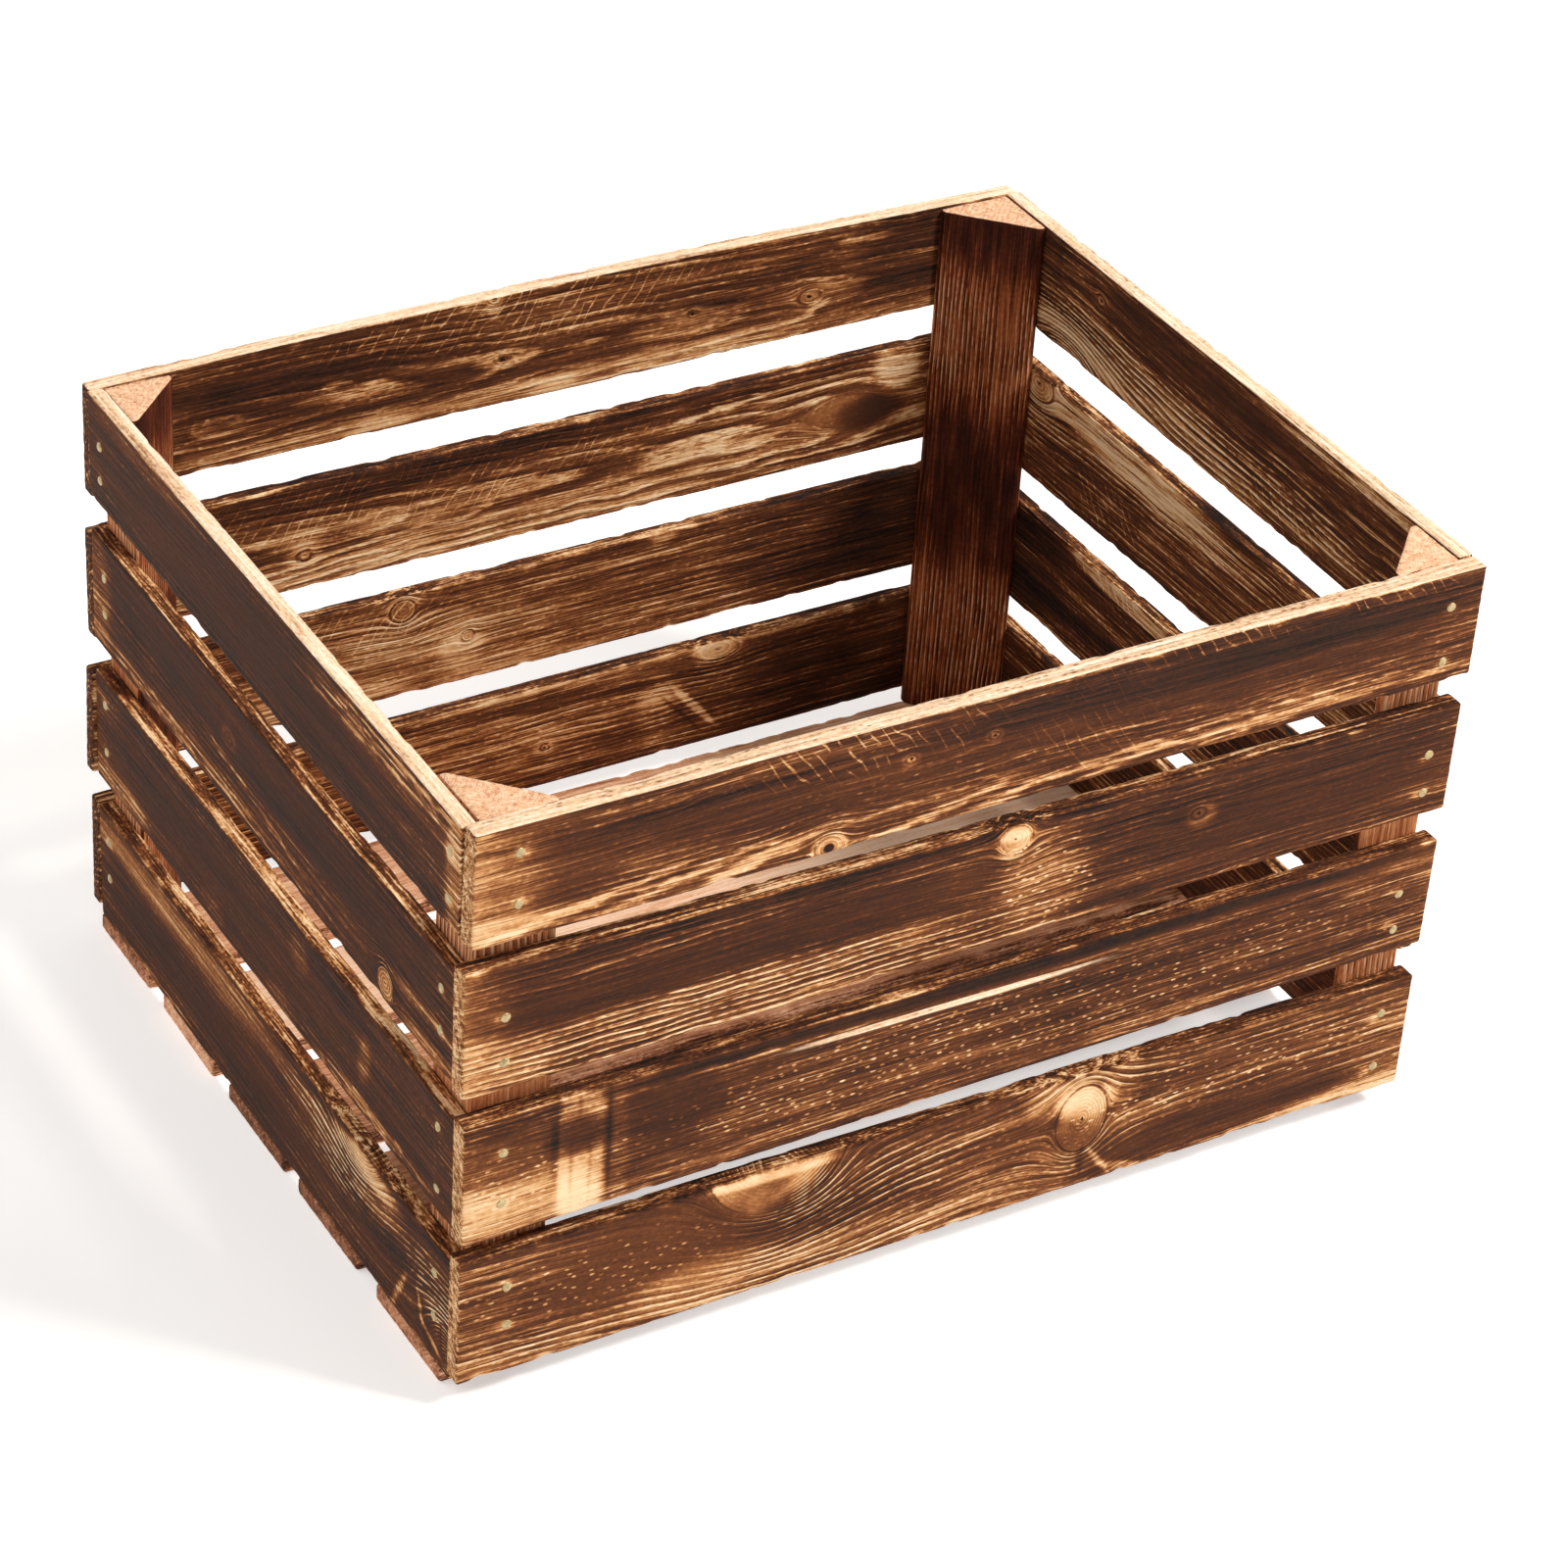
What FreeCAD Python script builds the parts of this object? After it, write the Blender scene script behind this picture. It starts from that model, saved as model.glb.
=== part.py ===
import FreeCAD, Part

import os

import Sketcher

# An open slatted fruit crate: four walls of four sawn slats each, nailed to triangular corner posts,
# on five bottom boards. Millimetres, +X along the length, +Y to the back, +Z up, and the origin is on
# the ground under the middle of the crate.

SIZES = {
    "crate_length": 500.0,
    "crate_depth": 400.0,
    "crate_height": 300.0,
    "front_thick": 10.0,
    "right_thick": 8.0,
    "back_thick": 8.5,
    "left_thick": 8.0,
    "bottom_thick": 8.5,
    "front_left_leg": 37.0,
    "front_right_leg": 33.0,
    "back_right_leg": 38.0,
    "back_left_leg": 33.0,
    "post_blunt": 3.0,
    "post_below_rim": 1.0,
    "shank_width": 2.0,
    "head_width": 4.8,
    "head_thick": 1.0,
    "head_sink": 0.6,
    "bottom_head_sink": 1.2,
    "shank_length": 24.0,
    "point_length": 3.0,
    "point_width": 0.4,
    "bottom_nail_inset": 4.0,
    "bottom_nail_spread": 14.0,
}

# The walls as they follow one another around the crate, each a quarter turn on from the one before.
# A wall is described as seen from outside, so its left end meets the right end of the wall before it.
WALLS = ("front", "right", "back", "left")
CORNERS = ("front_left", "front_right", "back_right", "back_left")
ENDS = ("left", "right")
QUARTER_TURN = 90.0
NODE_NAME_LIMIT = 60
EDGE_NEAR = 0.001

# A sketch's own axes, as its constraints number them. Point 1 of either is the sketch's origin.
LEVEL_AXIS = -1
UPRIGHT_AXIS = -2


def slat(low, high, left_nails, right_nails):
    """One sawn slat: its lower and upper edge at the left and right end, and the nails of each end.

    Edges and nails are heights above the ground. Each end has two nails, given as the distance in
    from the crate's corner, then the height of the lower and of the upper nail.
    """
    return {"low": low, "high": high, "nails": (left_nails, right_nails)}


# Rough-sawn slats, from the rim down. No two are quite the same width, and most taper a little.
SLATS = {
    "front": (
        slat((243.0, 243.0), (299.5, 299.5), (22.0, 261.0, 286.0), (17.0, 253.5, 282.0)),
        slat((168.0, 170.5), (231.5, 227.5), (17.5, 182.0, 205.0), (16.5, 183.0, 203.5)),
        slat((89.5, 95.5), (153.5, 153.0), (18.0, 107.0, 134.0), (21.0, 107.5, 127.5)),
        slat((13.5, 14.0), (80.0, 76.5), (22.0, 39.5, 60.5), (20.5, 28.0, 59.0)),
    ),
    "right": (
        slat((239.5, 243.0), (300.0, 300.0), (22.0, 259.0, 288.0), (21.0, 250.0, 279.0)),
        slat((166.0, 160.5), (220.5, 220.0), (24.0, 178.0, 209.0), (22.0, 176.0, 207.0)),
        slat((85.0, 84.5), (143.0, 141.5), (20.0, 101.0, 133.0), (23.0, 99.0, 129.0)),
        slat((8.5, 8.5), (68.0, 66.0), (22.0, 34.0, 54.0), (20.0, 36.0, 56.0)),
    ),
    "back": (
        slat((245.0, 243.5), (300.0, 300.0), (20.0, 256.0, 285.0), (21.0, 255.0, 285.0)),
        slat((168.5, 166.5), (224.5, 223.5), (18.0, 182.0, 212.0), (19.0, 183.0, 212.0)),
        slat((92.5, 90.5), (150.0, 147.5), (21.0, 105.0, 140.0), (22.0, 105.0, 141.0)),
        slat((17.0, 13.0), (76.0, 73.5), (19.0, 29.5, 62.0), (20.0, 30.0, 63.0)),
    ),
    "left": (
        slat((246.0, 243.5), (300.0, 298.0), (22.0, 259.5, 277.5), (19.5, 257.5, 281.0)),
        slat((168.5, 167.0), (227.5, 225.0), (23.0, 188.0, 208.0), (24.5, 187.5, 209.5)),
        slat((90.5, 92.0), (150.0, 149.5), (20.5, 110.0, 136.5), (25.0, 103.5, 137.0)),
        slat((8.5, 8.5), (72.5, 73.5), (20.0, 36.0, 57.5), (25.5, 33.0, 57.0)),
    ),
}

# The bottom boards, from the back to the front: the back and the front edge of each.
BOTTOM_BOARDS = (
    (191.0, 134.0),
    (118.0, 58.0),
    (41.0, -21.0),
    (-36.0, -98.0),
    (-118.5, -181.0),
)

doc = FreeCAD.newDocument("apple_crate")
sheet = doc.addObject("Spreadsheet::Sheet", "sizes")
parts = []


def driving_sizes():
    """Every driving size by its alias: the crate's own, then those of each slat and board."""
    sizes = dict(SIZES)
    for wall, slats in SLATS.items():
        for row, board in enumerate(slats, start=1):
            for side, end in enumerate(ENDS):
                prefix = f"{wall}_{row}_{end}"
                inset, lower_nail, upper_nail = board["nails"][side]
                sizes[f"{prefix}_low"] = board["low"][side]
                sizes[f"{prefix}_high"] = board["high"][side]
                sizes[f"{prefix}_nail_inset"] = inset
                sizes[f"{prefix}_lower_nail"] = lower_nail
                sizes[f"{prefix}_upper_nail"] = upper_nail
    for number, (back_edge, front_edge) in enumerate(BOTTOM_BOARDS, start=1):
        sizes[f"board_{number}_back_edge"] = back_edge
        sizes[f"board_{number}_front_edge"] = front_edge
    return sizes


def fill_sheet():
    for row, (alias, value) in enumerate(driving_sizes().items(), start=1):
        sheet.set(f"A{row}", alias)
        sheet.set(f"B{row}", str(value))
        sheet.setAlias(f"B{row}", alias)
    doc.recompute()


def value_of(expression):
    return float(sheet.evalExpression(expression))


def origin_plane(body, role):
    return next(item for item in body.Origin.OriginFeatures if item.Role == role)


def new_body(label, rotation, place):
    """A body whose place along X, Y and Z is bound to the sheet."""
    body = doc.addObject("PartDesign::Body", label)
    body.Label = label
    body.Placement = FreeCAD.Placement(FreeCAD.Vector(*map(value_of, place)), rotation)
    for axis, expression in zip("xyz", place):
        body.setExpression(f".Placement.Base.{axis}", expression)
    parts.append(body)
    return body


def new_sketch(body, name, role="XY_Plane", offset=None):
    """A sketch on one of the body's own origin planes, raised along its normal by the offset."""
    sketch = body.newObject("Sketcher::SketchObject", f"{body.Label}_{name}")
    sketch.AttachmentSupport = [(origin_plane(body, role), "")]
    sketch.MapMode = "FlatFace"
    if offset is not None:
        sketch.setExpression(".AttachmentOffset.Base.z", offset)
    return sketch


def hold_size(sketch, name, expression, *constraint):
    """Add a driving constraint, named and bound to an expression over the sheet."""
    index = sketch.addConstraint(Sketcher.Constraint(*constraint, value_of(expression)))
    sketch.renameConstraint(index, name)
    sketch.setExpression(f"Constraints.{name}", expression)


def hold_point(sketch, name, geometry, vertex, across, along):
    """Hold a point at a signed distance from the sketch's origin, or on its axis where that is nil."""
    ways = (("DistanceX", "across", across, UPRIGHT_AXIS), ("DistanceY", "along", along, LEVEL_AXIS))
    for kind, direction, expression, axis in ways:
        label = f"{name}_{direction}"
        distance = value_of(expression)
        if distance == 0.0:
            sketch.addConstraint(Sketcher.Constraint("PointOnObject", geometry, vertex, axis))
        elif distance < 0.0:
            hold_size(sketch, label, f"-({expression})", kind, geometry, vertex, LEVEL_AXIS, 1)
        else:
            hold_size(sketch, label, expression, kind, LEVEL_AXIS, 1, geometry, vertex)


def draw_outline(sketch, corners):
    """A closed outline of straight edges through named corners, each held at its own expressions."""
    points = [FreeCAD.Vector(value_of(x), value_of(y), 0.0) for _, x, y in corners]
    count = len(points)
    for index, point in enumerate(points):
        sketch.addGeometry(Part.LineSegment(point, points[(index + 1) % count]), False)
    for index in range(count):
        sketch.addConstraint(Sketcher.Constraint("Coincident", index, 2, (index + 1) % count, 1))
    for index, (name, across, along) in enumerate(corners):
        hold_point(sketch, name, index, 1, across, along)


def draw_circles(sketch, spots, width):
    """Equal circles of the given width, one at each named spot."""
    upright = FreeCAD.Vector(0.0, 0.0, 1.0)
    for index, (name, across, along) in enumerate(spots):
        centre = FreeCAD.Vector(value_of(across), value_of(along), 0.0)
        sketch.addGeometry(Part.Circle(centre, upright, value_of(width) / 2.0), False)
        hold_point(sketch, name, index, 3, across, along)
        hold_size(sketch, f"{name}_width", width, "Diameter", index)


def extrude(body, kind, sketch, length, reverse=False):
    """A Pad or Pocket of a sketch, its length bound to the sheet."""
    feature = body.newObject(f"PartDesign::{kind}", f"{sketch.Name}_{kind.lower()}")
    feature.Profile = sketch
    feature.setExpression("Length", length)
    feature.Reversed = reverse
    body.Tip = feature
    return feature


def is_long(wall):
    return wall in ("front", "back")


def half_outside(wall):
    """Half the wall's width over the crate's corners."""
    return "sizes.crate_length / 2" if is_long(wall) else "sizes.crate_depth / 2"


def thickness(wall):
    return f"sizes.{wall}_thick"


def neighbour(wall, end):
    """The wall that meets this one at its left or right end."""
    step = -1 if end == "left" else 1
    return WALLS[(WALLS.index(wall) + step) % len(WALLS)]


def slat_reach(wall, end):
    """From the wall's middle to a slat's end: long slats cover the ends of the short ones."""
    if is_long(wall):
        return half_outside(wall)
    return f"({half_outside(wall)} - {thickness(neighbour(wall, end))})"


def wall_turn(wall):
    """From a slat lying flat, seen face on, to its upright place in this wall."""
    stand_up = FreeCAD.Rotation(FreeCAD.Vector(1.0, 0.0, 0.0), 90.0)
    around = FreeCAD.Rotation(FreeCAD.Vector(0.0, 0.0, 1.0), QUARTER_TURN * WALLS.index(wall))
    return around.multiply(stand_up)


def wall_place(wall, inward):
    """A point the given distance in from the middle of the wall's outer face, on the ground."""
    places = {
        "front": ("0", f"-(sizes.crate_depth / 2 - {inward})", "0"),
        "right": (f"sizes.crate_length / 2 - {inward}", "0", "0"),
        "back": ("0", f"sizes.crate_depth / 2 - {inward}", "0"),
        "left": (f"-(sizes.crate_length / 2 - {inward})", "0", "0"),
    }
    return places[wall]


def nail_spots(wall, row):
    """The four nails of a slat, in the wall's own axes: across from its middle and up."""
    spots = []
    for end, sign in (("left", "-"), ("right", "")):
        prefix = f"sizes.{wall}_{row}_{end}"
        across = f"{sign}({half_outside(wall)} - {prefix}_nail_inset)"
        for nail in ("lower_nail", "upper_nail"):
            spots.append((f"{end}_{nail}_{row}", across, f"{prefix}_{nail}"))
    return spots


def board_nail_depths(number):
    """How far back the nails of a bottom board stand, each end having one pair."""
    prefix = f"sizes.board_{number}"
    middle = f"({prefix}_back_edge + {prefix}_front_edge) / 2"
    return (
        ("back", f"({middle} + sizes.bottom_nail_spread)"),
        ("front", f"({middle} - sizes.bottom_nail_spread)"),
    )


def board_spots(number):
    """The four nails of a bottom board seen from below, under the middle of the short walls."""
    across = "(sizes.crate_length / 2 - sizes.bottom_nail_inset)"
    return [
        (f"{end}_{side}_{number}", f"{sign}{across}", f"-{back}")
        for end, sign in (("left", "-"), ("right", ""))
        for side, back in board_nail_depths(number)
    ]


def bore_nail_seats(body, spots, thick, sink):
    """Bore the board for its nails' shanks, right through, and for their heads, from outside."""
    bores = new_sketch(body, "nail_bores")
    draw_circles(bores, spots, "sizes.shank_width")
    extrude(body, "Pocket", bores, thick, reverse=True)
    seats = new_sketch(body, "head_seats", offset=thick)
    draw_circles(seats, spots, "sizes.head_width")
    extrude(body, "Pocket", seats, sink)


def bore_lower_edge(body, wall):
    """Bore the lowest slat of a short wall for the nails that come up through the bottom boards."""
    sign = "" if wall == "right" else "-"
    upward = f"{thickness(wall)} - sizes.bottom_nail_inset"
    spots = [
        (f"{side}_{number}", f"{sign}{back}", upward)
        for number in range(1, len(BOTTOM_BOARDS) + 1)
        for side, back in board_nail_depths(number)
    ]
    bores = new_sketch(body, "edge_bores", role="XZ_Plane", offset="-sizes.bottom_thick")
    draw_circles(bores, spots, "sizes.shank_width")
    extrude(body, "Pocket", bores, "sizes.bottom_head_sink + sizes.shank_length - sizes.bottom_thick")


def make_slat(wall, row):
    """A tapering sawn slat, its inner face on the wall's inner plane."""
    left_reach = slat_reach(wall, "left")
    right_reach = slat_reach(wall, "right")
    thick = thickness(wall)
    left = f"sizes.{wall}_{row}_left"
    right = f"sizes.{wall}_{row}_right"
    body = new_body(f"{wall}_slat_{row}", wall_turn(wall), wall_place(wall, thick))
    outline = new_sketch(body, "outline")
    corners = (
        ("left_low", f"-{left_reach}", f"{left}_low"),
        ("right_low", right_reach, f"{right}_low"),
        ("right_high", right_reach, f"{right}_high"),
        ("left_high", f"-{left_reach}", f"{left}_high"),
    )
    draw_outline(outline, corners)
    extrude(body, "Pad", outline, thick)
    bore_nail_seats(body, nail_spots(wall, row), thick, "sizes.head_sink")
    if row == len(SLATS[wall]) and not is_long(wall):
        bore_lower_edge(body, wall)


def make_bottom_board(number):
    """A bottom board, drawn from below, its upper face carrying the walls and posts."""
    face_down = FreeCAD.Rotation(FreeCAD.Vector(1.0, 0.0, 0.0), 180.0)
    body = new_body(f"bottom_board_{number}", face_down, ("0", "0", "sizes.bottom_thick"))
    half = "sizes.crate_length / 2"
    back = f"-sizes.board_{number}_back_edge"
    front = f"-sizes.board_{number}_front_edge"
    outline = new_sketch(body, "outline")
    corners = (
        ("left_back", f"-{half}", back),
        ("right_back", half, back),
        ("right_front", half, front),
        ("left_front", f"-{half}", front),
    )
    draw_outline(outline, corners)
    extrude(body, "Pad", outline, "sizes.bottom_thick")
    bore_nail_seats(body, board_spots(number), "sizes.bottom_thick", "sizes.bottom_head_sink")


def bore_post(body, role, wall, end, reverse):
    """Bore a post from one wall's side, as deep as that wall's nails reach into it."""
    neighbour_thick = thickness(neighbour(wall, end))
    spots = []
    for row in range(1, len(SLATS[wall]) + 1):
        prefix = f"sizes.{wall}_{row}_{end}"
        inward = f"{prefix}_nail_inset - {neighbour_thick}"
        for nail in ("lower_nail", "upper_nail"):
            spots.append((f"{nail}_{row}", inward, f"{prefix}_{nail} - sizes.bottom_thick"))
    sketch = new_sketch(body, f"{wall}_bores", role=role)
    draw_circles(sketch, spots, "sizes.shank_width")
    depth = f"sizes.head_sink + sizes.shank_length - {thickness(wall)}"
    extrude(body, "Pocket", sketch, depth, reverse=reverse)


def make_post(index):
    """A corner post: a triangular prism, square corner outwards, its two sharp corners blunted."""
    corner = CORNERS[index]
    turn = FreeCAD.Rotation(FreeCAD.Vector(0.0, 0.0, 1.0), QUARTER_TURN * index)
    long_wall, short_wall = corner.split("_")
    x_sign = "-" if short_wall == "left" else ""
    y_sign = "-" if long_wall == "front" else ""
    place = (
        f"{x_sign}(sizes.crate_length / 2 - {thickness(short_wall)})",
        f"{y_sign}(sizes.crate_depth / 2 - {thickness(long_wall)})",
        "sizes.bottom_thick",
    )
    body = new_body(f"post_{corner}", turn, place)
    section = new_sketch(body, "section")
    leg = f"sizes.{corner}_leg"
    blunt = "sizes.post_blunt"
    corners = (
        ("square_corner", "0", "0"),
        ("across_end", leg, "0"),
        ("across_blunt", leg, blunt),
        ("along_blunt", blunt, leg),
        ("along_end", "0", leg),
    )
    draw_outline(section, corners)
    tall = "sizes.crate_height - sizes.post_below_rim - sizes.bottom_thick"
    extrude(body, "Pad", section, tall)
    before = WALLS[index - 1]
    bore_post(body, "XZ_Plane", WALLS[index], "left", reverse=False)
    bore_post(body, "YZ_Plane", before, "right", reverse=True)


def point_nails(body, stems):
    """Bevel the far end of every shank to a long point."""
    doc.recompute()
    tip_depth = -value_of("sizes.shank_length")
    tip_edges = [
        f"Edge{number}"
        for number, edge in enumerate(stems.Shape.Edges, start=1)
        if max(abs(edge.BoundBox.ZMin - tip_depth), abs(edge.BoundBox.ZMax - tip_depth)) < EDGE_NEAR
    ]
    bevel = body.newObject("PartDesign::Chamfer", f"{body.Label}_points")
    bevel.Base = (stems, tip_edges)
    bevel.ChamferType = "Two distances"
    bevel.setExpression("Size", "sizes.point_length")
    bevel.setExpression("Size2", "(sizes.shank_width - sizes.point_width) / 2")
    body.Tip = bevel


def make_nails(label, rotation, place, spots):
    """Loose wire nails, drawn from the plane under their heads: head, shank and bevelled point."""
    body = new_body(label, rotation, place)
    heads = new_sketch(body, "heads")
    draw_circles(heads, spots, "sizes.head_width")
    extrude(body, "Pad", heads, "sizes.head_thick")
    shanks = new_sketch(body, "shanks")
    draw_circles(shanks, spots, "sizes.shank_width")
    stems = extrude(body, "Pad", shanks, "sizes.shank_length", reverse=True)
    point_nails(body, stems)


def make_wall_nails(wall):
    spots = [spot for row in range(1, len(SLATS[wall]) + 1) for spot in nail_spots(wall, row)]
    make_nails(f"nails_{wall}", wall_turn(wall), wall_place(wall, "sizes.head_sink"), spots)


def make_bottom_nails():
    face_down = FreeCAD.Rotation(FreeCAD.Vector(1.0, 0.0, 0.0), 180.0)
    spots = [spot for number in range(1, len(BOTTOM_BOARDS) + 1) for spot in board_spots(number)]
    make_nails("nails_bottom", face_down, ("0", "0", "sizes.bottom_head_sink"), spots)


def check_document():
    """Stop on any feature that failed, and on any sub-part without a sound shape."""
    failed = [item.Name for item in doc.Objects if {"Invalid", "Error"} & set(item.State)]
    if failed:
        raise RuntimeError(f"failed features: {failed}")
    for part in parts:
        if part.Shape.isNull() or not part.Shape.isValid() or not part.Shape.Solids:
            raise RuntimeError(f"{part.Label} has no sound shape")
        if len(part.Label) >= NODE_NAME_LIMIT:
            raise RuntimeError(f"{part.Label} is too long a name")


def write_parts():
    os.makedirs("parts", exist_ok=True)
    for part in parts:
        part.Shape.exportStep(f"parts/{part.Label}.step")


fill_sheet()
for wall_name in WALLS:
    for slat_row in range(1, len(SLATS[wall_name]) + 1):
        make_slat(wall_name, slat_row)
for corner_index in range(len(CORNERS)):
    make_post(corner_index)
for board_number in range(1, len(BOTTOM_BOARDS) + 1):
    make_bottom_board(board_number)
for wall_name in WALLS:
    make_wall_nails(wall_name)
make_bottom_nails()
doc.recompute()
check_document()
write_parts()
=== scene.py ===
import math
from dataclasses import dataclass

import bpy
import numpy as np
from mathutils import Matrix, Vector


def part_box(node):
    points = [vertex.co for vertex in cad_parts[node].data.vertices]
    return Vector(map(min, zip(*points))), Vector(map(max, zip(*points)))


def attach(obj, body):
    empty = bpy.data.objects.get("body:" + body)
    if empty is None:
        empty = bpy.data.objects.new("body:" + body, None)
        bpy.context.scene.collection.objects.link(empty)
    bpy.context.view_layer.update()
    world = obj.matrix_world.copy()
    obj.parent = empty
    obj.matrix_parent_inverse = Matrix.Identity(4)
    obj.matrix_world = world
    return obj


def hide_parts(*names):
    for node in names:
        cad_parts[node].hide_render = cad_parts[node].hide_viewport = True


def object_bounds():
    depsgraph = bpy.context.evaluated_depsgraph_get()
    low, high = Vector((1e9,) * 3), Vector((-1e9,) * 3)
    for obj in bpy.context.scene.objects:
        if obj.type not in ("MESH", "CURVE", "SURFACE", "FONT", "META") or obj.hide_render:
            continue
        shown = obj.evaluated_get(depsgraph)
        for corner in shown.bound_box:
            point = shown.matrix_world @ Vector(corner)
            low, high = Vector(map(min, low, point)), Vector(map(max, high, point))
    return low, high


# An open fruit crate of rough-sawn, flame-scorched slats. The CAD frame gives every board its place and
# size. This script gives the boards sawn, chipped edges, and a grain that runs round their knots.
# Lengths on the boards are in millimetres; Blender's own are in metres.

MM = 0.001

# The saw's strokes: their distance apart along the board, and how high one climbs over that distance.
SAW_PITCH = 6.7
SAW_CLIMB = 8.9

# How finely a board's surface is divided, along the grain and across it, how far its arrises are rounded and
# in how many points, and the shrinking rings that close its ends.
STEP_ALONG = 1.8
STEP_ACROSS = 1.25
ARRIS = 0.9
ARRIS_STEPS = 3
CAP_RINGS = (0.8, 0.6, 0.4, 0.2)

# How much of the sawn waviness shows on a board's lower edge. Its look says how much on the upper one.
LOW_WAVE = 0.6

# The width of a knot's own rings, and how far outside a knot its depth is still counted.
KNOT_RING_PITCH = 1.9
KNOT_REACH = 8.0

# The distance over which a bared patch fades from full to nothing. The materials cut it at half.
BARE_BLUR = 5.0

RIGHT = Vector((1, 0, 0))
BACK = Vector((0, 1, 0))
UP = Vector((0, 0, 1))

# The way along each wall, to the right as seen from outside, and the way out of the crate.
WALLS = {
    "front": (RIGHT, -BACK),
    "right": (BACK, RIGHT),
    "back": (-RIGHT, BACK),
    "left": (-BACK, -RIGHT),
}

# The two ways out from each post's square corner, along the walls it stands against.
POST_WAYS = {
    "front_left": (RIGHT, BACK),
    "front_right": (BACK, -RIGHT),
    "back_right": (-RIGHT, -BACK),
    "back_left": (-BACK, RIGHT),
}


@dataclass
class Knot:
    """A branch through the board: where it is, along and up, its radius, how long an oval it is, and the
    radius of its dark heart. One with no heart lies under the surface and only turns the grain."""

    along: float
    up: float
    radius: float
    stretch: float = 1.3
    heart: float = 0.9


@dataclass
class Mark:
    """An oval patch on one face. It may slope, bow and waver, and its edge fades over part of its reach."""

    kind: str
    along: float
    up: float
    half_long: float
    half_high: float
    amount: float
    slope: float = 0.0
    bow: float = 0.0
    waver: float = 0.0
    fade: float = 0.9


@dataclass
class Look:
    """What one board's face shows. Places are along the wall from its middle, and up from its edge."""

    burn: float = 0.6
    contrast: float = 1.0
    lines: float = 1.0
    flecks: float = 0.3
    ring_pitch: float = 2.6
    pith: tuple = (-50.0, -30.0)
    pith_climb: tuple = (0.0, 0.0)
    wander: float = 0.6
    ends: tuple = (0.25, 0.15)
    trim: tuple = (0.0, 0.0)
    crown: float = 0.0
    edge_burn: float = 0.5
    knots: tuple = ()
    marks: tuple = ()
    high_wave: float = 0.6
    saw_lean: float = 1.0


def kind_of_mark(kind, usual, sign=1.0, **usual_shape):
    """A function that makes marks of one kind, with a usual strength and shape."""

    def make(along, up, half_long, half_high, amount=usual, **shape):
        return Mark(kind, along, up, half_long, half_high, sign * amount, **{**usual_shape, **shape})

    return make


# Wood that the flame only warmed, and wood that it dwelt on. The dark kind also lays painted shade on the
# back wall's right end, where the right wall's shadow falls.
pale = kind_of_mark("burn", 0.4, -1.0)
char_and_painted_shade = kind_of_mark("burn", 0.25)
# A ragged pale line of hard late wood.
streak = kind_of_mark("burn", 0.35, -1.0, waver=1.4, fade=0.5)
# A growth ring cut through lengthwise: a pale island with a clear edge.
oval = kind_of_mark("burn", 0.2, -1.0, waver=0.7, fade=0.25)
# Evenly charred wood, whose grain hardly shows, and wood whose rings stand out.
calm = kind_of_mark("calm", 0.5)
lively = kind_of_mark("lines", 0.6)
# Wood laid open after the burning, where a splinter came away.
bare = kind_of_mark("bare", 1.0)
# Strokes of the saw across the grain, and short torn fibres in rows along it.
sawn = kind_of_mark("sawn", 1.0)
torn = kind_of_mark("torn", 0.8)


def marked(*marks, **settings):
    """A board's look: first the marks on its face, then its settings."""
    return Look(marks=marks, **settings)


# Each wall's slats from the rim down, on the face that is best seen: outside on the front and left walls,
# inside on the back and right ones.

# Pale flames of late wood rise from its foot, and the saw marked its upper half.
FRONT_RIM = marked(
    pale(-244, 24, 26, 40, 0.2),
    calm(-232, 28, 42, 26, 0.4),
    pale(-232, 4, 40, 9, 0.16),
    streak(-196, 9, 52, 1.9, 0.36, slope=0.14),
    streak(-152, 8, 45, 2.2, 0.38, slope=0.165),
    streak(-116, 7, 30, 3.2, 0.4, slope=0.21),
    streak(-41, 14, 50, 1, 0.3, slope=0.03),
    streak(-28, 6, 34, 2.4, 0.38, slope=0.17),
    streak(0, 3, 20, 2.6, 0.38, slope=0.2),
    streak(48, 8.5, 42, 1.5, 0.34, slope=0.05),
    streak(62, 4, 30, 2, 0.36, slope=0.13),
    streak(165, 6, 84, 2.4, 0.38),
    streak(150, 11.5, 84, 1, 0.32),
    streak(120, 1.2, 40, 1.2, 0.34),
    pale(185, 18, 66, 5, 0.1),
    pale(-83, 2.5, 9, 8, fade=0.3),
    pale(-46, 36, 4, 3, 0.45),
    pale(-5, 37, 4, 3, 0.45),
    pale(-120, 54, 130, 6, 0.18),
    pale(-190, 30, 50, 6, 0.06),
    char_and_painted_shade(-150, 36, 70, 10, 0.1),
    char_and_painted_shade(60, 43, 190, 8, 0.14),
    char_and_painted_shade(160, 43, 90, 8, 0.12),
    calm(-60, 32, 140, 9, 0.4),
    calm(130, 38, 110, 10),
    sawn(-75, 47, 46, 11, 1.2),
    sawn(-18, 46, 18, 12, 1.1),
    sawn(150, 53, 96, 5, 1.1),
    sawn(45, 28, 36, 22, 0.5),
    torn(-60, 28, 60, 5, 0.5),
    burn=0.58, pith=(75, -35), wander=0.9, trim=(1.1, -0.3), ends=(0.25, 0.05),
    knots=(Knot(-83, 2.5, 6, 1.2, 2.2), Knot(-46, 36, 2.2), Knot(-5, 37, 2.2)),
)

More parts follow.
